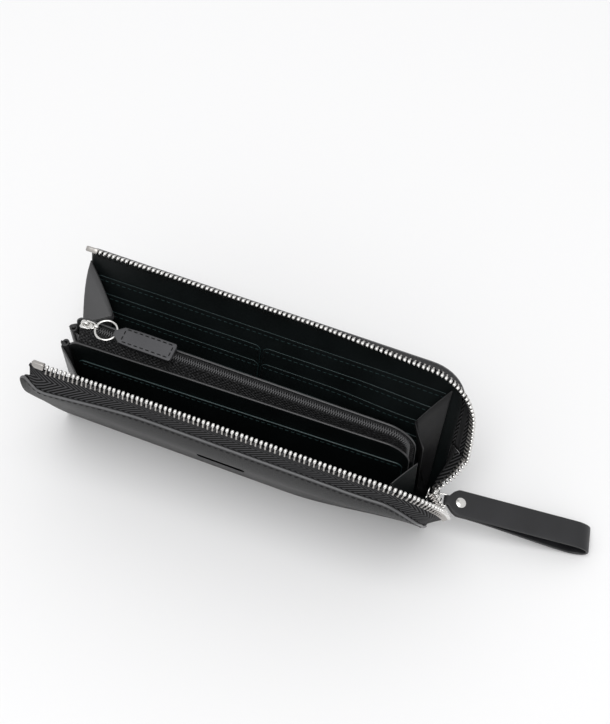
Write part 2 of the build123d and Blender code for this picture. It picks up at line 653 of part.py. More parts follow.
def all_nodes():
    """Every node by name, in its place at rest."""
    nodes = {
        "spine_leather": spine_leather(),
        "spine_lining": box_between(-HALF + 2, HALF - 4, -9.6, 9.6, LEATHER, LEATHER + LINING),
        "purse_back_panel": purse_back_panel(),
        "purse_front_panel": purse_front_panel(),
        "purse_lining": purse_lining(),
        "purse_back_tape": purse_tape(True),
        "purse_front_tape": purse_tape(False),
        "purse_zip_coil": purse_coil(),
        "purse_zip_end_stop": purse_end_stop(),
        "purse_end_web": purse_end_web(),
        "purse_left_gusset": purse_left_gusset(),
        "divider_slip_pocket": divider_slip_pocket(),
        "zip_bottom_stop": bottom_stop(),
        "zip_foot": zip_foot(),
    }
    for name, side in (("front", -1), ("back", 1)):
        nodes.update(cover_nodes(name, side))
        nodes[f"{name}_left_gusset"] = gusset(side, False)
        nodes[f"{name}_right_gusset"] = gusset(side, True)
        nodes[f"{name}_zip_tail"] = zip_tail(side)
        nodes[f"{name}_tail_teeth"] = tail_teeth(side)
    nodes.update(card_nodes())
    nodes["name_plate"] = name_plate()
    nodes["zip_slider_body"] = slider_body()
    nodes["slider_pull_link"] = pull_link()
    cap, base = strap_rivet()
    for node, piece in {"wrist_strap": strap_loop(), "strap_rivet_cap": cap, "strap_rivet_base": base}.items():
        nodes[node] = strap_place() * piece
    nodes["purse_slider_body"] = small_slider()
    nodes["purse_slider_tab"] = slider_tab()
    nodes["purse_pull_ring"] = pull_ring()
    nodes["purse_puller"] = puller()
    return nodes


os.makedirs("parts", exist_ok=True)
for node, piece in all_nodes().items():
    if isinstance(piece, list):
        solids = [solid for item in piece for solid in item.solids()]
        piece = Compound(children=solids) if len(solids) > 1 else solids[0]
    piece.label = node
    export_step(piece, f"parts/{node}.step")
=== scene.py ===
import json
from bisect import bisect_right
from math import asin, atan2, cos, hypot, pi, radians, sin, sqrt

import bmesh
import bpy
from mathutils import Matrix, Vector, noise


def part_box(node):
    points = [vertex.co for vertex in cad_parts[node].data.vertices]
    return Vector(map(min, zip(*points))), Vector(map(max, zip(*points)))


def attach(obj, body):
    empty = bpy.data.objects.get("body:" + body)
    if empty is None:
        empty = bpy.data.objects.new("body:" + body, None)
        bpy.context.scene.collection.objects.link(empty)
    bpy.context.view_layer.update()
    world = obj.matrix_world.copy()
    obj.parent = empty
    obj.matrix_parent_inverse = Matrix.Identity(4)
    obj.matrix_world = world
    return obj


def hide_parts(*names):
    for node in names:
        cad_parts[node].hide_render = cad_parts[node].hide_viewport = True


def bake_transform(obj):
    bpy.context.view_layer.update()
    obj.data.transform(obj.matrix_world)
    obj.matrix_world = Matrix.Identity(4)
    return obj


# The looks of a long zip wallet that stands open on its spine. Everything is in metres, in the CAD frame.
# As in the CAD, each cover is drawn closed and upright, as the back cover, and is then turned open.
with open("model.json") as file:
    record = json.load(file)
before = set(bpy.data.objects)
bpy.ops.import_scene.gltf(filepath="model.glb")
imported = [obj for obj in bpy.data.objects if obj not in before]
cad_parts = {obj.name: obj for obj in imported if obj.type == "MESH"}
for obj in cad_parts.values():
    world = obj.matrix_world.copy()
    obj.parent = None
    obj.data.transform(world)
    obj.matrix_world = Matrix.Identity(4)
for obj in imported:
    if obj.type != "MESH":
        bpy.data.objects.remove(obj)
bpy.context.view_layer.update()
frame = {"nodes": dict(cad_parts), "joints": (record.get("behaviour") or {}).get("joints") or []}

MM = 0.001
JOINT = {joint["name"]: joint for joint in frame["joints"]}
FOLD = {-1: JOINT["front_fold"], 1: JOINT["back_fold"]}
COVER = {-1: "front_cover", 1: "back_cover"}
SIDE = {-1: "front", 1: "back"}

# --- driving sizes of the covers, as in the CAD ---
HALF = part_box("spine_leather")[1].x
SPINE_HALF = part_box("spine_leather")[1].y
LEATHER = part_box("spine_leather")[1].z
COVER_TOP = 84.5 * MM
COVER_FOOT = 2.8 * MM
CORNER_R = 20 * MM
SMALL_R = 3 * MM
CURL_START = 66 * MM       # above this height the front cover curls in, ever more from its left end on
CURL_R = 38 * MM
CURL_FROM = -100 * MM
CURL_SPAN = 70 * MM
CURL_FULL = 1.05
FLIP_START = -84 * MM       # left of this the front cover's top corner flips in
FLIP_SPAN = 13 * MM
FLIP_FULL = 1.1
PULL = {-1: (7, 4.5, 2.5), 1: (2, 3, 0)}  # mm that the zip draws in each cover's right end: foot, slider, top
PULL_Z = 42 * MM
PULL_FROM = (25, 65)        # mm from the middle where the drawing in starts: low on the cover, and at its top
PULL_SPAN = 45 * MM
FOOT_CORNER = 10 * MM       # the leather is rounded off at the foot of its right end
TAPE_T = 0.5 * MM
BOARD = 0.5 * MM
LINING = 0.6 * MM
CARD_LEATHER = 0.38 * MM
LAYER_GAP = 0.02 * MM
LINING_DEPTH = LEATHER + TAPE_T + BOARD + 3 * LAYER_GAP

# --- plate on the front cover ---
PLATE_MIDDLE = 63.25 * MM
PLATE_HALF = 2.75 * MM

# --- main zip ---
TAPE_WIDTH = 9.8 * MM
TOOTH_LENGTH = 3.2 * MM
TOOTH_PITCH = 2.3 * MM
ROW_GAP = 0.25 * MM
TEETH_START = -86.7 * MM
BACK_STAND = 0.81          # the back tape's free end stands up: its lean there, as a share of the closed lean
STAND_END = 110 * MM
STOP_LENGTH = 6 * MM
STOP_GAP = 1.2 * MM
ROW_SHIFT = {-1: 3.2 * MM, 1: -1.3 * MM}  # where each row's first tooth sits, from TEETH_START
SIDE_END = 42 * MM
SLIDER_LO, SLIDER_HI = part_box("zip_slider_body")

# --- purse ---
PURSE_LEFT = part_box("purse_back_panel")[0].x
PURSE_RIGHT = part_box("purse_back_panel")[1].x
PURSE_BACK_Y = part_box("purse_back_panel")[1].y
PURSE_FRONT_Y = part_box("purse_front_panel")[0].y
PURSE_TAPER = radians(1.45)
PURSE_BACK_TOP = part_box("purse_back_panel")[1].z
PURSE_FRONT_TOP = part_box("purse_front_panel")[1].z
PURSE_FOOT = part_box("purse_back_panel")[0].z
PURSE_T = 1.1 * MM
EAR_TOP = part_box("purse_left_gusset")[1].z
EAR_R = 2.4 * MM
COIL_H = 1.6 * MM
COIL_CORNER = 10 * MM
COIL_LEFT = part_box("purse_zip_coil")[0].x
COIL_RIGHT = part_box("purse_zip_coil")[1].x - COIL_H / 2
COIL_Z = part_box("purse_zip_coil")[1].z - COIL_H / 2
COIL_END_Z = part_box("purse_zip_coil")[0].z
COIL_Y = (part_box("purse_zip_coil")[0].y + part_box("purse_zip_coil")[1].y) / 2

STITCH_PITCH = 3.0 * MM
STITCH_LENGTH = 2.2 * MM
UV = "mm"
X_AXIS = Vector((1, 0, 0))
Y_AXIS = Vector((0, 1, 0))
UP = Vector((0, 0, 1))


# ---------------------------------------------------------------- materials
class Shader:
    """A new material with one Principled shader, and short calls for the nodes that feed it."""

    def __init__(self, name, color, roughness, **sockets):
        self.material = bpy.data.materials.new(name)
        self.material.use_nodes = True
        self.tree = self.material.node_tree
        self.tree.nodes.clear()
        self.base = self.tree.nodes.new("ShaderNodeBsdfPrincipled")
        output = self.tree.nodes.new("ShaderNodeOutputMaterial")
        self.tree.links.new(self.base.outputs[0], output.inputs["Surface"])
        self.base.inputs["Base Color"].default_value = (*color, 1)
        self.base.inputs["Roughness"].default_value = roughness
        for socket, value in sockets.items():
            self.base.inputs[socket.replace("_", " ")].default_value = value
        self.place = None

    def node(self, kind, inputs=(), **settings):
        """A node with its settings, and its inputs given as (socket, value or output) pairs."""
        node = self.tree.nodes.new(kind)
        for setting, value in settings.items():
            setattr(node, setting, value)
        for socket, value in inputs:
            if isinstance(value, bpy.types.NodeSocket):
                self.tree.links.new(value, node.inputs[socket])
            else:
                node.inputs[socket].default_value = value
        return node

    def link(self, output, socket):
        self.tree.links.new(output, self.base.inputs[socket])

    def math(self, operation, *values):
        return self.node("ShaderNodeMath", list(enumerate(values)), operation=operation).outputs[0]

    def where(self, on_cad=False):
        """Coordinates in millimetres: the piece's own map, or its place in the frame for a CAD piece."""
        if self.place is None:
            if on_cad:
                spot = self.node("ShaderNodeTexCoord").outputs["Object"]
                scaled = self.node("ShaderNodeVectorMath", [(0, spot), ("Scale", 1 / MM)], operation="SCALE")
                self.place = scaled.outputs[0]
            else:
                self.place = self.node("ShaderNodeUVMap", uv_map=UV).outputs[0]
        return self.place

    def axes(self):
        split = self.node("ShaderNodeSeparateXYZ", [(0, self.where())])
        return split.outputs[0], split.outputs[1]

    def noise(self, scale, detail=3.0):
        inputs = [("Vector", self.where()), ("Scale", scale), ("Detail", detail)]
        return self.node("ShaderNodeTexNoise", inputs).outputs["Fac"]

    def cells(self, scale, randomness):
        inputs = [("Vector", self.where()), ("Scale", scale), ("Randomness", randomness)]
        return self.node("ShaderNodeTexVoronoi", inputs, feature="F1").outputs["Distance"]

    def ramp(self, value, low, high, out_low, out_high):
        inputs = [("Value", value), ("From Min", low), ("From Max", high)]
        inputs += [("To Min", out_low), ("To Max", out_high)]
        return self.node("ShaderNodeMapRange", inputs).outputs[0]

    def color(self, factor, dark, light):
        mix = self.node("ShaderNodeMix", [(0, factor), (6, (*dark, 1)), (7, (*light, 1))], data_type="RGBA")
        self.link(mix.outputs[2], "Base Color")

    def rough(self, factor, low, high):
        self.link(self.ramp(factor, 0.0, 1.0, low, high), "Roughness")

    def bump(self, height, strength, distance):
        """Distance is the relief in metres."""
        inputs = [("Height", height), ("Strength", strength), ("Distance", distance)]
        self.link(self.node("ShaderNodeBump", inputs).outputs[0], "Normal")


def shade(color, factor):
    return tuple(factor * c for c in color)


def leather(name, color, light, grain, randomness, relief, roughness, pebbled=0.0, **sockets):
    """Leather with a grain of that many pebbles to a millimetre. Pebbled is their share in its tone."""
    shader = Shader(name, color, roughness, **sockets)
    pebble = shader.cells(grain, randomness)
    cloud = shader.noise(0.06, 4)
    fine = shader.noise(grain * 2.5, 2)
    dome = shader.math("SUBTRACT", 1.0, shader.math("POWER", pebble, 1.6))
    tone = shader.math("ADD", shader.math("MULTIPLY", shader.ramp(cloud, 0.3, 0.75, 0, 1), 1 - pebbled),
                       shader.math("MULTIPLY", shader.ramp(dome, 0.45, 1.0, 0, 1), pebbled))
    shader.color(tone, color, light)
    shader.rough(shader.math("ADD", shader.math("MULTIPLY", cloud, 0.6), shader.math("MULTIPLY", fine, 0.4)),
                 roughness - 0.1, roughness + 0.14)
    shader.bump(shader.math("ADD", dome, shader.math("MULTIPLY", fine, 0.25)), 0.8, relief)
    return shader.material


def herringbone():
    """Woven zip tape: shallow ribs that turn back in columns."""
    shader = Shader("tape_weave", (0.02, 0.02, 0.021), 0.75, Specular_IOR_Level=0.15)
    along, across = shader.axes()
    zigzag = shader.math("PINGPONG", shader.math("ADD", across, 42.0), 4.7)
    slant = shader.math("ADD", along, shader.math("MULTIPLY", zigzag, 1.9))
    rib = shader.ramp(shader.math("SINE", shader.math("MULTIPLY", slant, 2 * pi / 2.7)), -1, 1, 0, 1)
    strand = shader.ramp(shader.math("SINE", shader.math("MULTIPLY", along, 2 * pi / 0.5)), -1, 1, 0, 1)
    height = shader.math("ADD", rib, shader.math("MULTIPLY", strand, 0.25))
    shader.color(shader.math("POWER", rib, 1.6), (0.001, 0.001, 0.0011), (0.075, 0.075, 0.078))
    shader.bump(height, 1.0, 0.35 * MM)
    return shader.material


def plain_weave(name, dark, light, pitch, relief):
    """Fine plain weave of two crossing threads."""
    shader = Shader(name, dark, 0.7, Specular_IOR_Level=0.15)
    along, across = shader.axes()
    warp = shader.math("SINE", shader.math("MULTIPLY", along, pi / pitch))
    weft = shader.math("SINE", shader.math("MULTIPLY", across, pi / pitch))
    cross = shader.math("ADD", shader.math("MULTIPLY", shader.math("MULTIPLY", warp, weft), 0.5), 0.5)
    speck = shader.noise(0.9, 2)
    tone = shader.math("MULTIPLY", cross, shader.ramp(speck, 0.4, 0.65, 0.15, 1.0))
    shader.color(tone, dark, light)
    shader.bump(shader.math("ADD", cross, speck), 0.9, relief)
    return shader.material


def metal(name, color, roughness, on_cad=False):
    """Polished nickel with faint rubbing."""
    shader = Shader(name, color, roughness, Metallic=1.0)
    shader.where(on_cad)
    rub = shader.noise(0.9, 4)
    shader.rough(rub, roughness - 0.05, roughness + 0.12)
    shader.color(rub, shade(color, 0.86), color)
    shader.bump(shader.noise(2.5, 2), 0.25, 0.03 * MM)
    return shader.material


def thread(name, color):
    """Waxed sewing thread with a slanting twist."""
    shader = Shader(name, color, 0.7, Specular_IOR_Level=0.3)
    along, across = shader.axes()
    twist = shader.math("SINE", shader.math("MULTIPLY", shader.math("ADD", along, across), 2 * pi / 0.55))
    shader.color(shader.ramp(twist, -1, 1, 0, 1), shade(color, 0.55), shade(color, 1.25))
    shader.bump(twist, 0.8, 0.06 * MM)
    return shader.material


def edge_paint(name, color, roughness):
    """Painted cut edge of leather, slightly uneven."""
    shader = Shader(name, color, roughness, Coat_Weight=0.15)
    uneven = shader.noise(0.8, 3)
    shader.rough(uneven, roughness - 0.08, roughness + 0.12)
    shader.color(uneven, shade(color, 0.7), shade(color, 1.3))
    shader.bump(uneven, 0.5, 0.12 * MM)
    return shader.material


def nylon(name, dark, light, shine):
    """Nylon of the small zip's coil."""
    shader = Shader(name, dark, 0.35, Specular_IOR_Level=shine)
    grain = shader.noise(2.0, 2)
    shader.color(grain, dark, light)
    shader.bump(grain, 0.3, 0.05 * MM)
    return shader.material


def plate_black():
    """Plain black plate."""
    shader = Shader("plate_black", (0.001, 0.001, 0.0012), 0.5, Specular_IOR_Level=0.0)
    haze = shader.noise(0.5, 3)
    shader.rough(haze, 0.45, 0.6)
    shader.bump(haze, 0.1, 0.02 * MM)
    return shader.material


OUTER = leather("outer_grain", (0.004, 0.004, 0.0042), (0.03, 0.03, 0.031), 0.95, 0.35, 0.25 * MM, 0.5,
                pebbled=0.7, Specular_IOR_Level=0.3)
INNER = leather("inner_smooth", (0.0022, 0.0036, 0.0038), (0.0042, 0.0068, 0.0072), 2.2, 0.9, 0.05 * MM, 0.55,
                Specular_IOR_Level=0.22)
# Gusset leather in a lighter and a darker copy: painted light on the gussets and rolled ears at the left,
# which face the light, and painted shade on the back right gusset.
GUSSET_PAINTED_LIGHT = leather("gusset_painted_light", (0.036, 0.036, 0.038), (0.058, 0.058, 0.061), 2.4, 0.9, 0.05 * MM, 0.42)
GUSSET_PAINTED_SHADE = leather("gusset_painted_shade", (0.01, 0.01, 0.0105), (0.018, 0.018, 0.019), 2.4, 0.9, 0.05 * MM, 0.4,
                      Specular_IOR_Level=0.35)
STRAP = leather("strap_smooth", (0.007, 0.007, 0.0085), (0.012, 0.0122, 0.0145), 2.6, 1.0, 0.04 * MM, 0.4)
PULLER = leather("puller_smooth", (0.046, 0.046, 0.05), (0.066, 0.066, 0.071), 2.6, 1.0, 0.04 * MM, 0.5)
TAPE = herringbone()
SMALL_TAPE = plain_weave("small_tape_weave", (0.002, 0.002, 0.0022), (0.075, 0.075, 0.078), 1.1, 0.25 * MM)
NYLON = nylon("coil_nylon", (0.02, 0.02, 0.0205), (0.1, 0.1, 0.105), 0.5)
COIL_CORE = nylon("coil_core", (0.001, 0.001, 0.0012), (0.003, 0.003, 0.0032), 0.1)
NICKEL = metal("nickel", (0.86, 0.85, 0.83), 0.2)
# Darker copy of the nickel, painted shade: the teeth's legs sit recessed on the cord, and the stop clips use
# it too.
NICKEL_PAINTED_SHADE = metal("nickel_painted_shade", (0.5, 0.48, 0.46), 0.34)
PLATE = plate_black()
BLACK_THREAD = thread("thread_black", (0.003, 0.003, 0.0032))
TEAL_THREAD = thread("thread_teal", (0.022, 0.05, 0.052))
DARK_EDGE = edge_paint("edge_dark", (0.014, 0.014, 0.015), 0.36)
TEAL_EDGE = edge_paint("edge_teal", (0.018, 0.04, 0.042), 0.4)
# Grey rim of the purse panels: partly their edge paint, partly a painted highlight along the top edge.
GREY_EDGE_PAINTED_HIGHLIGHT = edge_paint("edge_grey_painted_highlight", (0.04, 0.04, 0.042), 0.4)
# Grey rim of the covers: partly their edge paint, partly a painted highlight along the edge.
COVER_EDGE_PAINTED_HIGHLIGHT = edge_paint("edge_cover_painted_highlight", (0.1, 0.1, 0.104), 0.4)


# ---------------------------------------------------------------- mesh helpers
class Shape:
    """Points, faces and face-corner coordinates (in millimetres) of one mesh, gathered part by part."""

    def __init__(self):
        self.points = []
        self.faces = []
        self.uvs = []
        self.slots = []

    def face(self, corners, uvs, slot=0):
        self.faces.append(corners)
        self.uvs.extend(uvs)
        self.slots.append(slot)

    def grid(self, rows, cols, point, uv, wrap_rows=False, wrap_cols=False, caps=False, slot=0):
        """Quads through point(row, column). A wrapped direction closes on itself."""
        first = len(self.points)
        self.points += [point(i, j) for i in range(rows) for j in range(cols)]
        for i in range(rows if wrap_rows else rows - 1):
            for j in range(cols if wrap_cols else cols - 1):
                around = [(i, j), (i + 1, j), (i + 1, j + 1), (i, j + 1)]
                corners = [first + (a % rows) * cols + b % cols for a, b in around]
                self.face(corners, [uv(a, b) for a, b in around], slot)
        if caps:
            for row in (0, rows - 1):
                corners = [first + row * cols + j for j in range(cols)]
                self.face(corners, [uv(row, j) for j in range(cols)], slot)

    def sheet(self, rows, cols, spot, uv, bulge, square=(), rim_slot=1, layers=(0, 1)):
        """Closed sheet between the two layers of spot(row, column, layer), the outer one first.

        Its rim swells outwards by bulge, but for the rows in square.
        """
        first = len(self.points)
        outer, inner = ([[spot(i, j, layer) for j in range(cols)] for i in range(rows)] for layer in layers)
        for face in (outer, inner):
            for row in face:
                self.points += row
        shift = rows * cols
        for start in (first, first + shift):
            for i in range(rows - 1):
                for j in range(cols - 1):
                    around = [(i, j), (i + 1, j), (i + 1, j + 1), (i, j + 1)]
                    self.face([start + a * cols + b for a, b in around], [uv(a, b) for a, b in around])
        edge = [(0, j) for j in range(cols)] + [(i, cols - 1) for i in range(1, rows)]
        edge += [(rows - 1, j) for j in range(cols - 2, -1, -1)] + [(i, 0) for i in range(rows - 2, 0, -1)]
        count = len(edge)
        middle = outer[rows // 2][cols // 2]
        rings = [[first + i * cols + j for i, j in edge]]
        outward = []
        for k, (i, j) in enumerate(edge):
            (i_before, j_before), (i_after, j_after) = edge[k - 1], edge[(k + 1) % count]
            normal = (outer[i][j] - inner[i][j]).normalized()
            out = (outer[i_after][j_after] - outer[i_before][j_before]).cross(normal).normalized()
            outward.append(-out if out.dot(outer[i][j] - middle) < 0 else out)
        for fraction in (0.15, 0.5, 0.85):
            ring = []
            for (i, j), out in zip(edge, outward):
                swell = 0 if i in square else bulge * sin(pi * fraction)
                self.points.append(outer[i][j].lerp(inner[i][j], fraction) + out * swell)
                ring.append(len(self.points) - 1)
            rings.append(ring)
        rings.append([first + shift + i * cols + j for i, j in edge])
        for level, (near, far) in enumerate(zip(rings, rings[1:])):
            for k in range(count):
                after = (k + 1) % count
                around = [near[k], near[after], far[after], far[k]]
                spots = [(k, level), (k + 1, level), (k + 1, level + 1), (k, level + 1)]
                self.face(around, [(a * 1.0, b * 0.3) for a, b in spots], rim_slot)

    def loft(self, sections, slot=0):
        """Closed form through rings of equally many points, capped at both ends."""
        count = len(sections[0])

        def uv(i, j):
            middle = sum((point for point in sections[i]), Vector()) / count
            start = sum((point for point in sections[0]), Vector()) / count
            return (middle - start).length / MM, j * 3.0 / count
        self.grid(len(sections), count, lambda i, j: sections[i][j], uv, wrap_cols=True, caps=True, slot=slot)

    def piece(self, name, *materials):
        """The finished mesh as an object, with its faces turned outwards."""
        mesh = bpy.data.meshes.new(name)
        mesh.from_pydata([tuple(point) for point in self.points], [], self.faces)
        layer = mesh.uv_layers.new(name=UV)
        layer.data.foreach_set("uv", [value for uv in self.uvs for value in uv])
        mesh.polygons.foreach_set("material_index", self.slots)
        for material in materials:
            mesh.materials.append(material)
        work = bmesh.new()
        work.from_mesh(mesh)
        bmesh.ops.recalc_face_normals(work, faces=work.faces)
        work.to_mesh(mesh)
        work.free()
        mesh.shade_smooth()
        piece = bpy.data.objects.new(name, mesh)
        bpy.context.scene.collection.objects.link(piece)
        return piece


def spread(count, margin):
    """Shares from 0 to 1, even but for one extra close to each end."""
    return [0.0, margin] + [k / count for k in range(1, count)] + [1.0 - margin, 1.0]


def between(a, b, share):
    return a + (b - a) * share


def signed_power(value, power):
    """Power of a number's size, with its sign kept."""
    return abs(value) ** power * (1 if value > 0 else -1)


def round_section(centre, across, up, half_across, half_up, count, power):
    """Ring of points round a centre: a circle at power 1, and squarer as power falls."""
    ring = []
    for k in range(count):
        turn = 2 * pi * (k + 0.5) / count
        a = signed_power(cos(turn), power)
        b = signed_power(sin(turn), power)
        ring.append(centre + across * (half_across * a) + up * (half_up * b))
    return ring


class Trail:
    """A line of points with a normal at each, read by the distance along it."""

    def __init__(self, spots):
        self.spots = spots
        self.at_length = [0.0]
        for (a, _), (b, _) in zip(spots, spots[1:]):
            self.at_length.append(self.at_length[-1] + (b - a).length)
        self.length = self.at_length[-1]

    def at(self, distance):
        """Point, normal and direction at that distance."""
        index = min(max(bisect_right(self.at_length, distance) - 1, 0), len(self.spots) - 2)
        step = self.at_length[index + 1] - self.at_length[index]
        share = (distance - self.at_length[index]) / step
        (a, normal_a), (b, normal_b) = self.spots[index], self.spots[index + 1]
        return a.lerp(b, share), normal_a.lerp(normal_b, share).normalized(), (b - a).normalized()


def sew(shape, trail, width):
    """Stitches along a trail: each one rises a little from the leather and dips back in."""
    count = int((trail.length - STITCH_LENGTH) / STITCH_PITCH) + 1
    start = (trail.length - (count - 1) * STITCH_PITCH - STITCH_LENGTH) / 2
    profile = ((0.0, 0.3, -0.2), (0.14, 0.85, 0.12), (0.5, 1.0, 0.3), (0.86, 0.85, 0.12), (1.0, 0.3, -0.2))
    for k in range(count):
        rings = []
        for share, girth, rise in profile:
            point, normal, way = trail.at(start + k * STITCH_PITCH + share * STITCH_LENGTH)
            side = way.cross(normal)
            centre = point + normal * (rise * width)
            rings.append(round_section(centre, side, normal, width / 2 * girth, width / 2 * girth, 6, 1.0))
        shape.loft(rings)


def add_piece(shape, name, materials, body, slot, *nodes):
    """Finish a shape as a piece that rides on a body, in place of those CAD nodes."""
    piece = shape.piece(name, *materials)
    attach(piece, body)
    if nodes:
        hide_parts(*nodes)


def seam(name, trails, body, material, slot, width):
    """Rows of stitches as one piece that rides on a body."""
    shape = Shape()
    for trail in trails:
        sew(shape, trail, width)
    add_piece(shape, name, (material,), body, slot)


def lathe(shape, profile, origin, axis, steps):
    """Turned form: profile gives (radius, height along the axis) from one end to the other."""
    axis = axis.normalized()
    across = axis.orthogonal().normalized()
    up = axis.cross(across)
    turns = [2 * pi * k / steps for k in range(steps)]
    spokes = [across * cos(turn) + up * sin(turn) for turn in turns]
    rings = [[origin + axis * height + spoke * radius for spoke in spokes] for radius, height in profile]
    shape.loft(rings)


# ---------------------------------------------------------------- covers: form and place
def smooth(share):
    share = min(max(share, 0), 1)
    return share * share * (3 - 2 * share)


def cover_y(x, z, depth, side):
    """Y of a closed cover, drawn as the back one, at a depth below its outer face."""
    y = SPINE_HALF - depth - drawn_in(x, z, side)
    if side > 0:
        return y
    rise = max(z - CURL_START, 0)
    curl = CURL_FULL * smooth((x - CURL_FROM) / CURL_SPAN) + FLIP_FULL * smooth((FLIP_START - x) / FLIP_SPAN)
    return y - (CURL_R - sqrt(CURL_R ** 2 - rise ** 2)) * curl


def drawn_in(x, z, side):
    """How far the zip draws in the right end of a cover."""
    foot, middle, top = PULL[side]
    if z < PULL_Z:
        start = PULL_FROM[0] * MM
        return between(foot, middle, smooth(z / PULL_Z)) * MM * smooth((x - start) / (HALF - start))
    share = smooth((z - PULL_Z) / (COVER_TOP - PULL_Z))
    return between(middle, top, share) * MM * smooth((x - between(*PULL_FROM, share) * MM) / PULL_SPAN)


def turned(x, y, z, side):
    """Rest place of a point of the closed back cover, on either side."""
    hinge = FOLD[side]
    hinge_y = abs(hinge["pos_m"][1])
    hinge_z = hinge["pos_m"][2]
    angle = radians(-hinge["range_deg"][0])
    out = (y - hinge_y) * cos(angle) + (z - hinge_z) * sin(angle)
    up = (z - hinge_z) * cos(angle) - (y - hinge_y) * sin(angle)
    return Vector((x, side * (hinge_y + out), hinge_z + up))


def turned_way(way, side):
    """Rest direction of a direction on the closed back cover."""
    return turned(*way, side) - turned(0, 0, 0, side)


def on_cover(x, z, depth, side):
    return turned(x, cover_y(x, z, depth, side), z, side)


def cover_normal(x, z, side):
    """Outward normal of the cover's outer face."""
    slope = (cover_y(x, z - MM, 0, side) - cover_y(x, z + MM, 0, side)) / (2 * MM)
    return turned_way(Vector((0, 1, slope)).normalized(), side)


def outline_rows(foot, top, left, right, corner, left_corner, steps=10):
    """Rows of a cover layer from foot to top, as (height, left end, right end)."""
    rows = []
    shoulder = top - corner
    for k in range(steps):
        rows.append((between(foot, shoulder, k / steps), left, right))
    for k in range(13):
        turn = pi / 2 * k / 12
        z = shoulder + corner * sin(turn)
        rise = z - (top - left_corner)
        cut = left_corner - sqrt(max(left_corner ** 2 - rise ** 2, 0)) if rise > 0 else 0
        rows.append((z, left + cut, right - corner * (1 - cos(turn))))
    return rows


def bend_rows(side, spine_depth, cover_depth, flat_end, foot):
    """Profile at rest from the middle of the spine round to the foot of a cover, as (y, z) at one depth."""
    end = turned(0, SPINE_HALF - cover_depth, foot, side)
    lean = turned_way((0, 0, 1), side)
    start = Vector((0, side * flat_end, spine_depth))
    reach = (end - start).length
    rows = [(side * flat_end * share, spine_depth) for share in (0.0, 0.04, 0.35, 0.7)]
    for k in range(8):
        t = k / 8
        h = (2 * t ** 3 - 3 * t ** 2 + 1, t ** 3 - 2 * t ** 2 + t, -2 * t ** 3 + 3 * t ** 2, t ** 3 - t ** 2)
        y = h[0] * start.y + h[1] * side * reach * 1.1 + h[2] * end.y + h[3] * lean.y * reach * 1.1
        z = h[0] * start.z + h[2] * end.z + h[3] * lean.z * reach * 1.1
        rows.append((y, z))
    return rows


def softness(x, s, amount):
    """Gentle unevenness of a leather face, in metres."""
    spot = Vector((x / 0.028, s / 0.02, 3.7))
    return amount * (0.5 + 0.5 * noise.noise(spot))


def cover_sheet(shape, side, spine_depths, cover_depths, flat_end, rows, amount, bulge):
    """Sheet from the spine's middle, round the bend and up a cover, between two depths."""
    bends = [bend_rows(side, s, c, flat_end, rows[0][0]) for s, c in zip(spine_depths, cover_depths)]
    low = len(bends[0])
    shares = spread(46, 0.004)
    left, right = rows[0][1:]
    run = [0.0]
    for k in range(1, low):
        run.append(run[-1] + hypot(bends[0][k][0] - bends[0][k - 1][0], bends[0][k][1] - bends[0][k - 1][1]))
    run += [run[-1] + 1 * MM + row[0] - rows[0][0] for row in rows]

    def spot(i, j, layer):
        share = shares[j]
        if i < low:
            y, z = bends[layer][i]
            x = between(left, right, share)
            drawn = drawn_in(x, rows[0][0], side) * min(abs(y) / SPINE_HALF, 1)
            return Vector((x, y - side * drawn, z))
        z, row_left, row_right = rows[i - low]
        x = between(row_left, row_right, share)
        fade = min(1, (z - rows[0][0]) / (8 * MM), (COVER_TOP - z) / (4 * MM) + 0.15)
        lift = softness(x, z, amount) * fade
        return on_cover(x, z, cover_depths[layer] - lift, side)

    def uv(i, j):
        x = spot(i, j, 0).x
        return x / MM, side * run[i] / MM
    shape.sheet(low + len(rows), len(shares), spot, uv,
                bulge, square=(0,))


def blend_with_cover(piece, side, start, end):
    """Bake a piece's transform into its mesh. Start and end, (y, z) on that side, are not used."""
    start, end = ((0, side * y, z) for y, z in (start, end))
    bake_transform(piece)
    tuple(start)
    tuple(end)


def foot_cut(z):
    """How much shorter the leather is at height z, for the rounded foot of its right end."""
    below = max(1 - (z - COVER_FOOT) / FOOT_CORNER, 0)
    return FOOT_CORNER * (1 - sqrt(1 - below ** 2))


def outer_leather(side):
    """Outer leather of one side: half of the spine, its bend and the cover."""
    shape = Shape()
    inset = 0.35 * MM
    rows = outline_rows(COVER_FOOT, COVER_TOP - inset, -HALF + inset, HALF - inset, CORNER_R - inset, SMALL_R)
    rows = [(z, left, right - foot_cut(z)) for z, left, right in rows]
    cover_sheet(shape, side, (0, LEATHER), (0, LEATHER), 11.2 * MM, rows, 0.3 * MM, inset)
    # The rim takes the grey edge colour, partly edge paint and partly a painted highlight.
    piece = shape.piece(f"{SIDE[side]}_outer_leather", OUTER, COVER_EDGE_PAINTED_HIGHLIGHT)
    blend_with_cover(piece, side, (11.3 * MM, 0), (13.9 * MM, 2.6 * MM))
    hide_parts(f"{SIDE[side]}_cover_leather", "spine_leather")


def inner_lining(side):
    """Inner face of one side, from the spine up to just below the cover's edge."""
    shape = Shape()
    inset = 1.4 * MM
    rows = outline_rows(6 * MM, COVER_TOP - 1.2 * MM, -HALF + inset, HALF - inset, CORNER_R - inset, SMALL_R)
    depths = (LEATHER + 0.05 * MM, LEATHER + 0.6 * MM)
    cover_sheet(shape, side, depths, (LINING_DEPTH, LINING_DEPTH + LINING), 7.5 * MM, rows, 0.0, 0.2 * MM)
    piece = shape.piece(f"{SIDE[side]}_inner_lining", INNER, DARK_EDGE)
    blend_with_cover(piece, side, (8 * MM, 1 * MM), (13.5 * MM, 5 * MM))
    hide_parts(f"{SIDE[side]}_cover_lining", f"{SIDE[side]}_cover_board", "spine_lining")


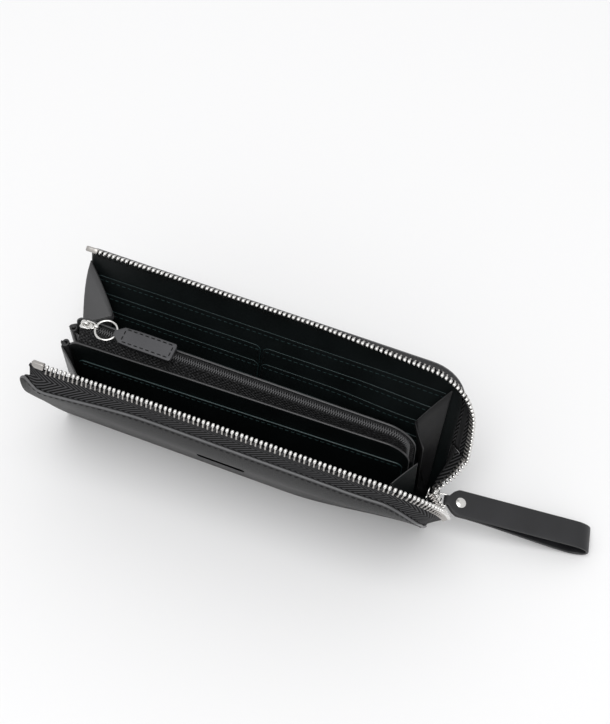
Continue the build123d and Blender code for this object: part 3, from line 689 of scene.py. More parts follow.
def edge_trail(side, inset, depth, foot):
    """Line at an inset from a cover's edge: along the top, round the corner and down the right end."""
    normal_sign = 1 if depth < LEATHER else -1
    top = COVER_TOP - inset
    radius = CORNER_R - inset
    spots = []

    def add(x, z):
        soft = 0.0 if depth > 0 else softness(x, z, 0.3 * MM) * min(1, (COVER_TOP - z) / (4 * MM) + 0.15)
        spots.append((on_cover(x, z, depth - soft, side), cover_normal(x, z, side) * normal_sign))
    for k in range(81):
        add(between(-HALF + inset, HALF - CORNER_R, k / 80), top)
    for k in range(1, 17):
        turn = pi / 2 * k / 16
        add(HALF - CORNER_R + radius * sin(turn), COVER_TOP - CORNER_R + radius * cos(turn))
    for k in range(1, 21):
        add(HALF - inset, between(COVER_TOP - CORNER_R, foot, k / 20))
    return Trail(spots)


def cover_stitching(side):
    """Stitching that holds the zip tape, seen on the outside of the leather and on the inside face."""
    outside = edge_trail(side, 1.5 * MM, 0.0, 12 * MM)
    inside = edge_trail(side, 2.6 * MM, LINING_DEPTH + LINING, 14 * MM)
    seam(f"{SIDE[side]}_edge_stitching", [outside, inside], COVER[side], BLACK_THREAD, "outer_leather",
         0.32 * MM)


def name_plate():
    """Plain plate on the front cover, with its edges eased."""
    lo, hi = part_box("name_plate")
    mid_x = (lo.x + hi.x) / 2
    mid_z = PLATE_MIDDLE
    half = Vector(((hi.x - lo.x) / 2, 0, PLATE_HALF))
    shape = Shape()
    rings = []
    for depth, shrink in ((0.0, 0.0), (-0.45, 0.0), (-0.62, 0.1), (-0.7, 0.3), (-0.72, 0.9)):
        ring = []
        for k in range(32):
            turn = 2 * pi * (k + 0.5) / 32
            a = signed_power(cos(turn), 0.16)
            b = signed_power(sin(turn), 0.16)
            x = mid_x + a * (half.x - shrink * MM)
            z = mid_z + b * (half.z - shrink * MM)
            ring.append(on_cover(x, z, depth * MM, -1))
        rings.append(ring)
    shape.loft(rings)
    add_piece(shape, "front_plain_plate", (PLATE,), "front_cover", "plate", "name_plate")


# ---------------------------------------------------------------- main zip
STRAIGHT = (HALF - CORNER_R) - TEETH_START
ARC_LENGTH = CORNER_R * pi / 2
SIDE_LENGTH = (COVER_TOP - CORNER_R) - SIDE_END
ZIP_LENGTH = STRAIGHT + ARC_LENGTH + SIDE_LENGTH


def leather_edge(distance):
    """Point (x, z) of the leather's edge and its outward direction, by distance from the first tooth."""
    if distance <= STRAIGHT:
        return TEETH_START + distance, COVER_TOP, 0.0, 1.0
    if distance <= STRAIGHT + ARC_LENGTH:
        turn = (distance - STRAIGHT) / CORNER_R
        x = HALF - CORNER_R + CORNER_R * sin(turn)
        z = COVER_TOP - CORNER_R + CORNER_R * cos(turn)
        return x, z, sin(turn), cos(turn)
    return HALF, COVER_TOP - CORNER_R - (distance - STRAIGHT - ARC_LENGTH), 1.0, 0.0


def zip_ray(distance, side):
    """Start of the visible tape, its way to the teeth and the way along the zip, on the closed cover."""
    x, z, out_x, out_z = leather_edge(distance)
    y = cover_y(x, z, LEATHER + TAPE_T / 2 + LAYER_GAP, side)
    lean = asin((y - ROW_GAP) / (TAPE_WIDTH + TOOTH_LENGTH))
    if side > 0:
        share = min(max((distance - STAND_END) / (STRAIGHT - STAND_END), 0), 1)
        lean *= between(BACK_STAND, 1, share)
    flat = cos(lean)
    return Vector((x, y, z)), Vector((out_x * flat, -sin(lean), out_z * flat)), Vector((out_z, 0, -out_x))


def along_teeth(side, offset):
    """Distances along the leather's edge at which the tooth line has run on by one pitch each time."""
    stops = []
    run = 0.0
    step = 0.2 * MM
    last = None
    for k in range(int((ZIP_LENGTH - ROW_SHIFT[side]) / step) + 1):
        distance = ROW_SHIFT[side] + k * step
        start, way, _ = zip_ray(distance, side)
        place = start + way * (TAPE_WIDTH + offset)
        run += (place - last).length if last else TOOTH_PITCH
        last = place
        if run >= TOOTH_PITCH:
            stops.append(distance)
            run -= TOOTH_PITCH
    return stops


def tape_stations(first, last):
    """Distances along the zip, closer together round the corner."""
    stops = []
    distance = first
    while distance < last:
        stops.append(distance)
        near_corner = STRAIGHT - 3 * MM < distance < STRAIGHT + ARC_LENGTH + 3 * MM
        distance += 1.6 * MM if near_corner else 4 * MM
    return stops + [last]


TAPE_PROFILE = ((-2.5, 0.25), (0.0, 0.25), (2.4, 0.26), (4.8, 0.27), (7.2, 0.26), (8.7, 0.26), (9.1, 0.7),
                (9.7, 0.92), (10.2, 0.65), (10.2, -0.65), (9.7, -0.92), (9.1, -0.7), (8.7, -0.26),
                (7.2, -0.26), (4.8, -0.25), (2.4, -0.26), (0.0, -0.25), (-2.5, -0.25))


def main_tape(side):
    """Woven tape from under the leather to the corded edge that carries the teeth."""
    stops = tape_stations(ROW_SHIFT[side] - STOP_GAP - STOP_LENGTH - 0.8 * MM, ZIP_LENGTH)

    def point(i, j):
        distance = stops[i]
        across, lift = TAPE_PROFILE[j]
        start, way, along = zip_ray(distance, side)
        normal = along.cross(way)
        if across < 0:
            x, z, out_x, out_z = leather_edge(distance)
            x += out_x * across * MM
            z += out_z * across * MM
            return on_cover(x, z, LEATHER + TAPE_T / 2 + LAYER_GAP - lift * MM, side)
        wave = 0.6 + 0.4 * noise.noise(Vector((distance / 0.02, 0, 1)))
        belly = 0.35 * sin(pi * min(across * MM / TAPE_WIDTH, 1)) * wave
        spot = start + way * (across * MM) + normal * ((lift + belly) * MM)
        return turned(*spot, side)

    def uv(i, j):
        return stops[i] / MM, TAPE_PROFILE[j % len(TAPE_PROFILE)][0]
    shape = Shape()
    shape.grid(len(stops), len(TAPE_PROFILE), point, uv, wrap_cols=True, caps=True)
    add_piece(shape, f"{SIDE[side]}_woven_tape", (TAPE,), COVER[side], "zip_tape", f"{SIDE[side]}_zip_tape")


TOOTH_LEGS = ((-2.8, 0.25, 0.8), (-2.6, 0.5, 1.05), (-2.2, 0.52, 1.15), (-1.7, 0.42, 1.1), (-0.4, 0.4, 0.95),
              (0.3, 0.36, 0.7))
TOOTH_HEAD = ((-0.35, 0.3, 0.7), (-0.1, 0.52, 0.95), (0.25, 0.74, 1.05), (0.7, 0.82, 1.05), (1.15, 0.74, 0.9),
              (1.45, 0.5, 0.62), (1.6, 0.18, 0.22))


def add_tooth(shape, centre, along, way, normal):
    """One cast tooth: two legs on the tape's cord, and a round head on a narrow neck."""
    # The legs take slot 1, the darker nickel with painted shade; the heads take the bright nickel.
    for slot, sections, power in ((1, TOOTH_LEGS, 0.6), (0, TOOTH_HEAD, 0.8)):
        rings = [round_section(centre + way * (place * MM), along, normal, half_along * MM, half_up * MM,
                               10, power) for place, half_along, half_up in sections]
        shape.loft(rings, slot)


def main_teeth(side):
    """The row of teeth on one cover."""
    shape = Shape()
    for distance in along_teeth(side, TOOTH_LENGTH / 2):
        start, way, along = zip_ray(distance, side)
        centre = start + way * (TAPE_WIDTH + TOOTH_LENGTH / 2 + LAYER_GAP)
        ways = [turned_way(v, side) for v in (along, way, along.cross(way))]
        add_tooth(shape, turned(*centre, side), *ways)
    add_piece(shape, f"{SIDE[side]}_teeth_row", (NICKEL, NICKEL_PAINTED_SHADE), COVER[side], "metal",
              f"{SIDE[side]}_zip_teeth")


def top_stop(side):
    """Pressed clip that ends a row: a rounded bar with its long edges eased."""
    start, way, along = zip_ray(ROW_SHIFT[side] - STOP_GAP - STOP_LENGTH / 2, side)
    centre = start + way * (TAPE_WIDTH + TOOTH_LENGTH / 2)
    ways = [turned_way(v, side) for v in (along, way, along.cross(way))]
    middle = turned(*centre, side)
    shape = Shape()
    rings = []
    for share, size in ((-1, 0.72), (-0.97, 0.9), (-0.85, 1), (-0.3, 0.97), (0.3, 0.97), (0.85, 1),
                        (0.97, 0.9), (1, 0.72)):
        spot = middle + ways[0] * (share * STOP_LENGTH / 2)
        rings.append(round_section(spot, ways[1], ways[2], 1.6 * MM * size, 1.3 * MM * size, 16, 0.35))
    shape.loft(rings)
    # The clip takes the darker nickel with painted shade.
    add_piece(shape, f"{SIDE[side]}_stop_clip", (NICKEL_PAINTED_SHADE,), COVER[side], "metal",
              f"{SIDE[side]}_zip_top_stop")


def curve_through(knots, steps):
    """Smooth line through the knots, with that many steps between two of them."""
    padded = [knots[0] * 2 - knots[1]] + knots + [knots[-1] * 2 - knots[-2]]
    line = []
    for a, b, c, d in zip(padded, padded[1:], padded[2:], padded[3:]):
        for k in range(steps):
            t = k / steps
            line.append(0.5 * ((2 * b) + (c - a) * t + (2 * a - 5 * b + 4 * c - d) * t * t
                               + (3 * b - a - 3 * c + d) * t ** 3))
    return line + [knots[-1]]


def tail_lines(side):
    """Leather edge and tooth line below the covers' last teeth: down to the slider, then to the spine."""
    start, way, _ = zip_ray(ZIP_LENGTH, side)
    root = start + way * TAPE_WIDTH
    mouth_z = SLIDER_HI.z + 0.6 * MM
    slider_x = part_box("zip_bottom_stop")[0].x + 1.6 * MM
    edge = [turned(start.x, start.y, start.z, side)]
    for z, inset in ((34, 0.3), (26, 0.5), (18, 0.6), (10, 0.8), (5, 1.0)):
        edge.append(on_cover(HALF - inset * MM, z * MM, LEATHER + 0.5 * MM, side))
    top = turned(*root, side)
    mouth = Vector((slider_x, side * 1.9 * MM, mouth_z))
    middle = top.lerp(mouth, 0.5) + Vector((1.2 * MM, side * 0.8 * MM, -0.8 * MM))
    line = [top, middle, mouth]
    for x, y, z in ((95, 1.0, 21), (94.8, 1.0, 13.5), (94.0, 2.0, 6.5)):
        line.append(Vector((x * MM, side * y * MM, z * MM)))
    return curve_through(edge, 6), curve_through(line, 6)


TAIL_BLEND = ((3 * MM, 30 * MM), (15.5 * MM, 30 * MM))  # from the centre to the cover, as (y, z)


def tail_tape(side):
    """The tape's last stretch, a web that turns in from the cover to the slider and the spine."""
    edge, line = tail_lines(side)
    shares = [k / 10 for k in range(11)]
    shape = Shape()

    def spot(i, j, layer):
        base = edge[i].lerp(line[i], shares[j])
        sag = X_AXIS * (0.5 - layer) * TAPE_T
        belly = X_AXIS * (1.1 * MM) * sin(pi * shares[j])
        return base + sag - belly
    shape.sheet(len(edge), len(shares), spot,
                lambda i, j: (ZIP_LENGTH / MM + i * 1.4, TAPE_WIDTH / MM * shares[j]), 0.1 * MM, rim_slot=0)
    piece = shape.piece(f"{SIDE[side]}_tail_web", TAPE)
    blend_with_cover(piece, side, *TAIL_BLEND)
    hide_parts(f"{SIDE[side]}_zip_tail")


def tail_teeth(side):
    """Teeth between the cover's last tooth and the slider."""
    _, line = tail_lines(side)
    path = Trail([(point, X_AXIS) for point in line[:13]])
    shape = Shape()
    count = int(path.length / (TOOTH_PITCH * 0.92))
    inward = Vector((0.25, -side, 0.1))
    top_way = turned_way(zip_ray(ZIP_LENGTH, side)[1], side)
    for index in range(count):
        point, _, run = path.at((index + 0.6) * path.length / count)
        across = (inward - run * inward.dot(run)).normalized()
        across = top_way.lerp(across, min(1, index / count * 1.6)).normalized()
        across = (across - run * across.dot(run)).normalized()
        add_tooth(shape, point + across * (TOOTH_LENGTH / 2), run, across, run.cross(across))
    piece = shape.piece(f"{SIDE[side]}_tail_teeth_row", NICKEL, NICKEL_PAINTED_SHADE)
    blend_with_cover(piece, side, *TAIL_BLEND)
    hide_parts(f"{SIDE[side]}_tail_teeth")


# ---------------------------------------------------------------- card pockets on the back cover
def pocket(name, order, top, left, right):
    """Thin leather pocket on the back cover with a painted top edge."""
    depth = LINING_DEPTH + LINING + 2 * LAYER_GAP + order * (CARD_LEATHER + LAYER_GAP)
    rows = outline_rows(9 * MM, top, left, right, SMALL_R, SMALL_R, 12)
    rows = [row for k, row in enumerate(rows) if k < 12 or k % 2 == 0]
    shares = spread(24, 0.008)
    shape = Shape()

    def spot(i, j, layer):
        z, row_left, row_right = rows[i]
        x = between(row_left, row_right, shares[j])
        fullness = softness(x, z + order, 0.25 * MM) * max(0, 1 - (top - z) / (12 * MM))
        return on_cover(x, z, depth + fullness + layer * CARD_LEATHER, 1)
    shape.sheet(len(rows), len(shares), spot, lambda i, j: (spot(i, j, 0).x / MM, rows[i][0] / MM),
                0.12 * MM, layers=(1, 0))
    add_piece(shape, f"{name}_leather", (INNER, TEAL_EDGE), "back_cover", "inner_leather", name)
    return depth + CARD_LEATHER


def pocket_trail(depth, z, left, right, order):
    """Straight line of stitching across a pocket."""
    spots = []
    for k in range(33):
        x = between(left, right, k / 32)
        fullness = softness(x, z + order, 0.25 * MM) * 0.72
        spots.append((on_cover(x, z, depth + fullness, 1), -cover_normal(x, z, 1)))
    return Trail(spots)


def card_pockets():
    """A long slip pocket above three rows of card pockets in two columns, and their stitching."""
    trails = []
    left, right = -HALF + 4 * MM, HALF - 8 * MM
    depth = pocket("long_slip_pocket", 0, 71 * MM, left, right)
    trails.append(pocket_trail(depth, 68.6 * MM, left + 1 * MM, right - 1 * MM, 0))
    columns = {"left": (-HALF + 5 * MM, -5 * MM), "right": (-3.6 * MM, HALF - 10 * MM)}
    for order, top in enumerate((61, 51, 41), 1):
        for column, (left, right) in columns.items():
            depth = pocket(f"card_row_{order}_{column}", order, top * MM, left, right)
            trails.append(pocket_trail(depth, (top - 2.4) * MM, left + 0.5 * MM, right - 0.5 * MM, order))
    seam("card_pocket_stitching", trails, "back_cover", TEAL_THREAD, "inner_leather", 0.36 * MM)
    divider = [Trail([(on_cover(x * MM, between(14, 60, k / 20) * MM, LINING_DEPTH + LINING + 1.75 * MM, 1),
                       -cover_normal(0, 20 * MM, 1)) for k in range(21)]) for x in (-6.1, -2.5)]
    seam("card_divider_stitching", divider, "back_cover", BLACK_THREAD, "inner_leather", 0.34 * MM)


# ---------------------------------------------------------------- gussets between the covers and the purse
GUSSET_REACH = 18 * MM      # reach from the cover of the blend start in blend_gusset, which blend_with_cover does not use
GUSSET_T = 0.8 * MM


def gusset_lines(side, end):
    """Cover edge, fold tip and purse edge of one gusset, each from foot to head."""
    right = end > 0
    depth = LEATHER + BOARD + LINING + 1.6 * MM
    inset = (7.5 if right else 1.6) * MM
    spill = 3.6 * MM if side > 0 and not right else 0
    head_z = (75 if right else 79) * MM
    purse_y = PURSE_BACK_Y if side > 0 else PURSE_FRONT_Y
    if side < 0 and right:
        purse_y += sin(PURSE_TAPER) * (HALF * 1.8)
    inner_x = end * (HALF - (11.5 if right else 3.4) * MM)
    shares = [k / 12 for k in range(13)]
    cover = [on_cover(end * (HALF - inset + spill * (1 - share ** 5)), between(6 * MM, head_z, share), depth,
                      side) for share in shares]
    purse_top = (59 if right else EAR_TOP / MM - 1) * MM
    purse_y += side * 0.9 * MM
    purse = [Vector((inner_x, purse_y, between(6 * MM, purse_top, share))) for share in shares]
    tip_head_x = end * (HALF - (20 if right else 19) * MM)
    tips = []
    for k, share in enumerate(shares):
        reach = share ** 0.8
        y = between(cover[k].y, purse[k].y, 0.55)
        x = between(end * (HALF - 6 * MM), tip_head_x, reach)
        tips.append(Vector((x, y, between(7 * MM, 57.5 * MM, share))))
    return cover, tips, purse


def gusset(side, end):
    """Folded leather end wall with a rounded inner fold."""
    cover, tips, purse = gusset_lines(side, end)
    shares = (0.0, 0.04, 0.2, 0.4, 0.6, 0.78, 0.9, 0.97)
    cols = len(shares) * 2 + 1
    shape = Shape()

    def base(i, j):
        tip = tips[i]
        if j < len(shares):
            return cover[i].lerp(tip, shares[j]), 1
        if j > len(shares):
            return purse[i].lerp(tip, shares[cols - 1 - j]), -1
        return tip, 0

    def spot(i, j, layer):
        point, leg = base(i, j)
        width = min(abs(cover[i].y - purse[i].y) / 2, 6 * MM)
        near_tip = max(0.0, 1 - (point - tips[i]).length / (3 * MM))
        puff = sin(pi * min(1, (point - tips[i]).length / max((cover[i] - tips[i]).length, 1e-6)))
        away = Vector((0, side * leg, 0))
        point = point + away * (puff * width * 0.12) - Vector((end, 0, 0)) * (near_tip * -0.2 * MM)
        push = Vector((end, 0, 0)) if leg == 0 else Vector((end * 0.35, -side * leg, 0)).normalized()
        return point + push * (GUSSET_T * layer)
    shape.sheet(13, cols, spot, lambda i, j: (j * 2.2, i * 5.0), 0.18 * MM)
    where = "right" if end > 0 else "left"
    # Painted light and shade by place: the left gussets take the lighter gusset leather, the back right one
    # the darker copy, and the front right one the inner leather's dark colour as painted shade.
    gusset_leather = GUSSET_PAINTED_LIGHT if end < 0 else GUSSET_PAINTED_SHADE if side > 0 else INNER
    piece = shape.piece(f"{SIDE[side]}_{where}_gusset_fold", gusset_leather, DARK_EDGE)
    blend_gusset(piece, side, cover)
    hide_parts(f"{SIDE[side]}_{where}_gusset")
    return cover, tips, purse


def blend_gusset(piece, side, cover):
    """Work out a blend start and end for a gusset from its cover line and pass them to blend_with_cover,
    which only bakes the piece's transform.
    """
    middle = cover[len(cover) // 2]
    lean = turned_way((0, 0, 1), 1)
    end = (abs(middle.y), middle.z)
    start = (end[0] - GUSSET_REACH * lean.z, end[1] + GUSSET_REACH * lean.y)
    blend_with_cover(piece, side, start, end)


def gusset_seam(side, end, lines):
    """Stitching along the top edge of a gusset and down its cover edge."""
    cover, tips, purse = lines
    down = Vector((0, 0, -2.2 * MM))
    face = Vector((-end, 0, 0))
    lift = face * (0.12 * MM)
    top = [cover[-1].lerp(tips[-1], k / 12) for k in range(13)]
    top += [tips[-1].lerp(purse[-1], k / 12) for k in range(1, 12)]
    spots = [(point + down + lift, face) for point in top]
    edge = [(cover[k].lerp(tips[k], 0.07) + lift, face) for k in range(2, 13)]
    shape = Shape()
    for trail in (Trail(spots), Trail(edge)):
        sew(shape, trail, 0.4 * MM)
    where = "right" if end > 0 else "left"
    piece = shape.piece(f"{SIDE[side]}_{where}_gusset_stitching", BLACK_THREAD)
    blend_gusset(piece, side, cover)


# ---------------------------------------------------------------- zipped purse in the middle
def front_y(x):
    """Outer face of the purse's front panel, which leans back to the right."""
    return PURSE_FRONT_Y + (x - PURSE_LEFT) * sin(PURSE_TAPER)


def purse_sheet(name, node, outer_y, thickness, rows, edge, soft=0.25 * MM):
    """Upright leather sheet of the purse between two faces."""
    shares = spread(40, 0.006)
    shape = Shape()

    def spot(i, j, layer):
        z, left, right = rows[i]
        x = between(left, right, shares[j])
        wave = softness(x, z, soft) - soft / 2
        return Vector((x, outer_y(x) + wave + layer * thickness, z))
    shape.sheet(len(rows), len(shares), spot,
                lambda i, j: (spot(i, j, 0).x / MM, rows[i][0] / MM), 0.3 * abs(thickness))
    add_piece(shape, name, (INNER, edge), "centre", "inner_leather", node)


def purse_panels():
    """Back and front leather, and the slip pocket on the front with its stitching."""
    inset = 0.3 * MM
    left, right = PURSE_LEFT + inset, PURSE_RIGHT - inset
    rows = outline_rows(PURSE_FOOT, PURSE_BACK_TOP - inset, left, right, 15 * MM, 6 * MM)
    # Both panels' rims take the grey edge colour, partly edge paint and partly a painted highlight.
    purse_sheet("purse_back_leather", "purse_back_panel", lambda x: PURSE_BACK_Y, -PURSE_T, rows, GREY_EDGE_PAINTED_HIGHLIGHT)
    rows = outline_rows(PURSE_FOOT, PURSE_FRONT_TOP - inset, left, right - 1 * MM, 12 * MM, 6 * MM)
    purse_sheet("purse_front_leather", "purse_front_panel", front_y, PURSE_T, rows, GREY_EDGE_PAINTED_HIGHLIGHT)
    slip_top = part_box("divider_slip_pocket")[1].z
    left, right = PURSE_LEFT + 4 * MM, PURSE_RIGHT - 4 * MM
    rows = outline_rows(PURSE_FOOT, slip_top, left, right, 3 * MM, 3 * MM)
    purse_sheet("purse_slip_leather", "divider_slip_pocket", lambda x: front_y(x) - 0.9 * MM, 0.7 * MM, rows,
                TEAL_EDGE, 0.1 * MM)
    trail = Trail([(Vector((x, front_y(x) - 0.93 * MM, slip_top - 2.4 * MM)), Vector((0, -1, 0)))
                   for x in (between(left + 1 * MM, right - 1 * MM, k / 30) for k in range(31))])
    seam("purse_slip_stitching", [trail], "centre", TEAL_THREAD, "inner_leather", 0.36 * MM)


def coil_line(offset_y):
    """Points along the purse's zip: the top, the right corner and down."""
    top_end = COIL_RIGHT - COIL_CORNER
    corner_z = COIL_Z - COIL_CORNER
    turns = [pi / 2 * k / 12 for k in range(13)]
    places = [(between(COIL_LEFT, top_end, k / 60), COIL_Z) for k in range(60)]
    places += [(top_end + COIL_CORNER * sin(turn), corner_z + COIL_CORNER * cos(turn)) for turn in turns]
    places += [(COIL_RIGHT, between(corner_z, COIL_END_Z, k / 6)) for k in range(1, 7)]
    return [Vector((x, COIL_Y + offset_y, z)) for x, z in places]


def coil_outward(point):
    """Direction out of the coil's top face."""
    top_end = COIL_RIGHT - COIL_CORNER
    corner_z = COIL_Z - COIL_CORNER
    if point.x <= top_end:
        return UP
    if point.z <= corner_z:
        return X_AXIS
    return Vector((point.x - top_end, 0, point.z - corner_z)).normalized()


COIL_PITCH = 1.15 * MM
COIL_LOOP = ((1.5, -0.35, 0.2), (1.48, 0.1, 0.33), (1.1, 0.52, 0.36), (0.3, 0.6, 0.36), (-0.25, 0.5, 0.3),
             (-0.42, 0.3, 0.15))  # reach, height and half width along one loop, in mm


def purse_coil():
    """Meshed nylon coil: slanted loops from each side that pass between one another."""
    path = Trail([(point, coil_outward(point)) for point in coil_line(0)])
    shape = Shape()
    for index in range(int(path.length / COIL_PITCH)):
        for side in (-1, 1):
            point, normal, way = path.at((index + (0.75 if side > 0 else 0.25)) * COIL_PITCH)
            across = side * Y_AXIS
            rings = []
            for reach, height, girth in COIL_LOOP:
                slant = way * ((0.5 - reach) * 0.22 * MM)
                spot = point + across * (reach * MM) + normal * (height * MM) + slant
                rings.append(round_section(spot, way, (normal + across * 0.3).normalized(), girth * MM,
                                           girth * 0.8 * MM, 6, 1.0))
            shape.loft(rings)
    core = [(point - normal * (0.25 * MM), normal) for point, normal in path.spots]
    rings = [round_section(point, Y_AXIS, normal, 1.25 * MM, 0.42 * MM, 8, 0.6) for point, normal in core]
    shape.loft(rings, 1)
    add_piece(shape, "purse_nylon_coil", (NYLON, COIL_CORE), "centre", "zip_coil", "purse_zip_coil")


def tape_edge(point, panel_right, panel_top, corner):
    """Place (x, z) on a panel's edge that lies across from a point of the coil."""
    top_end = COIL_RIGHT - COIL_CORNER
    corner_z = COIL_Z - COIL_CORNER
    if point.x <= top_end and point.z >= COIL_Z - 1e-6:
        share = (point.x - COIL_LEFT) / (top_end - COIL_LEFT)
        return between(COIL_LEFT, panel_right - corner, share), panel_top
    if point.z > corner_z:
        turn = atan2(point.x - top_end, point.z - corner_z)
        return panel_right - corner + corner * sin(turn), panel_top - corner + corner * cos(turn)
    return panel_right, panel_top - corner - (corner_z - point.z)


def purse_tape(front):
    """Woven tape from the coil out to one panel's top edge, round the right corner too."""
    panel_right = PURSE_RIGHT - (1.9 if front else 0.9) * MM
    panel_top = (PURSE_FRONT_TOP if front else PURSE_BACK_TOP) - 0.7 * MM
    corner = (11.2 if front else 14.2) * MM
    rows = []
    for point in coil_line((-1 if front else 1) * 1.35 * MM):
        x, z = tape_edge(point, panel_right, panel_top, corner)
        y = front_y(x) + PURSE_T + 0.15 * MM if front else PURSE_BACK_Y - PURSE_T - 0.15 * MM
        rows.append((point, Vector((x, y, z))))
    shares = [k / 6 for k in range(7)]
    run = [0.0]
    for (a, _), (b, _) in zip(rows, rows[1:]):
        run.append(run[-1] + (b - a).length)

    def spot(i, j, layer):
        near, far = rows[i]
        inward = coil_outward(near) * (-0.4 * MM * layer)
        sag = coil_outward(near) * (-0.5 * MM * sin(pi * shares[j]) + (0.1 * MM))
        return near.lerp(far, shares[j]) + inward + sag
    shape = Shape()
    shape.sheet(len(rows), len(shares), spot, lambda i, j: (run[i] / MM, shares[j] * 9.0), 0.05 * MM,
                rim_slot=0)
    name = "purse_front_tape" if front else "purse_back_tape"
    add_piece(shape, f"{name}_woven", (SMALL_TAPE,), "centre", "zip_tape", name)


def rolled_ear(shape, x, y, direction):
    """Leather edge rolled on itself, seen as a spiral at its top end."""
    turns = 1.35
    steps = 30
    thickness = 0.85 * MM

    def centre(k):
        turn = 2 * pi * turns * k / steps
        radius = between(EAR_R - thickness / 2, EAR_R * 0.32, k / steps)
        return Vector((x - cos(turn) * radius, y + direction * sin(turn) * radius, 0))

    def spot(i, j, layer):
        before = centre(max(j - 1, 0))
        after = centre(min(j + 1, steps))
        way = (after - before).normalized()
        normal = Vector((way.y, -way.x, 0))
        z = (PURSE_FOOT, PURSE_FOOT + 1 * MM, EAR_TOP * 0.5, EAR_TOP - 0.6 * MM, EAR_TOP)[i]
        return centre(j) + normal * ((layer - 0.5) * thickness) + Vector((0, 0, z))
    shape.sheet(5, steps + 1, spot, lambda i, j: (j * 0.6, i * 14.0), 0.1 * MM)


def purse_ears():
    """Rolled left edges of the purse, and the inward fold of leather that joins them."""
    lo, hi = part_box("purse_left_gusset")
    ear_x = lo.x + EAR_R
    back_y = hi.y - EAR_R
    near_y = lo.y + EAR_R
    shape = Shape()
    rolled_ear(shape, ear_x, back_y, 1)
    rolled_ear(shape, ear_x, near_y, -1)
    mid_y = (back_y + near_y) / 2

    def fold(i, j, layer):
        share = j / 12
        z = between(PURSE_FOOT, EAR_TOP - 1.5 * MM, i / 8)
        angle = pi * share
        y = mid_y - cos(angle) * (back_y - mid_y - 1.2 * MM)
        depth = sin(angle) ** 0.7 * (8.5 - 2.5 * i / 8) * MM
        return Vector((ear_x + 0.9 * MM + depth + layer * 0.7 * MM, y, z - sin(angle) * (i / 8) * 4 * MM))
    shape.sheet(9, 13, fold, lambda i, j: (j * 1.5, i * 7.0), 0.1 * MM)
    # The ears take the lighter gusset leather, with painted light.
    add_piece(shape, "purse_rolled_ears", (GUSSET_PAINTED_LIGHT, DARK_EDGE), "centre", "inner_leather",
              "purse_left_gusset")
    trails = []
    for y, way in ((back_y + EAR_R * 0.35, 1), (near_y - EAR_R * 0.35, -1)):
        x = ear_x + EAR_R + 1.4 * MM
        outer = (PURSE_BACK_Y if way > 0 else front_y(x)) + way * 0.05 * MM
        trails.append(Trail([(Vector((x, outer, between(PURSE_FOOT + 3 * MM, EAR_TOP - 2 * MM, k / 12))),
                              Vector((0, way, 0))) for k in range(13)]))
    seam("purse_ear_stitching", trails, "centre", BLACK_THREAD, "inner_leather", 0.4 * MM)


# ---------------------------------------------------------------- main slider and strap
def flat_form(shape, outline, place, thickness, dome):
    """Plate from an outline of (a, b) pairs: place maps (a, b, height) to a point. Its top is domed."""
    mid = (sum(a for a, b in outline) / len(outline), sum(b for a, b in outline) / len(outline))
    rings = []
    for shrink, height in ((0.8, 0.0), (0.97, 0.0), (1.0, 0.18), (1.0, 0.62), (0.95, 0.86), (0.86, 0.98),
                           (0.6, 1.0), (0.3, 1.0)):
        swell = dome * (1 - shrink ** 2) if height > 0.9 else 0
        rings.append([place(mid[0] + (a - mid[0]) * shrink, mid[1] + (b - mid[1]) * shrink,
                            thickness * height + swell) for a, b in outline])
    shape.loft(rings)


def slider_outline(wide, narrow, low, high, count=40):
    """Shield outline: two rounded shoulders with a dip between them, narrowing to a rounded foot."""
    points = []
    for k in range(count):
        turn = 2 * pi * k / count
        up = sin(turn)
        half = between(narrow, wide, (up + 1) / 2) * (1.0 if abs(up) < 0.9 else 0.95)
        a = half * signed_power(cos(turn), 0.6)
        b = between(low, high, (signed_power(up, 0.75) + 1) / 2)
        if up > 0.75:
            b -= (high - low) * 0.09 * max(0, 1 - abs(a) / (0.55 * wide))
        points.append((a, b))
    return points


def slider_bridge(shape, knots, half_width, half_thickness):
    """Flat bar of a slider, bent through the knots."""
    line = curve_through(knots, 5)
    rings = []
    for k, point in enumerate(line):
        way = (line[min(k + 1, len(line) - 1)] - line[max(k - 1, 0)]).normalized()
        rings.append(round_section(point, Y_AXIS, way.cross(Y_AXIS), half_width, half_thickness, 12, 0.5))
    shape.loft(rings)


def wire_loop(shape, line, wire, step):
    """Round wire along a closed level line. Step is the texture's run from point to point, in mm."""
    def point(i, j):
        way = (line[(i + 1) % len(line)] - line[i - 1]).normalized()
        turn = 2 * pi * j / 8
        return line[i] + way.cross(UP) * (cos(turn) * wire) + UP * (sin(turn) * wire)
    shape.grid(len(line), 8, point, lambda i, j: (i * step, j * 0.3), wrap_rows=True, wrap_cols=True)


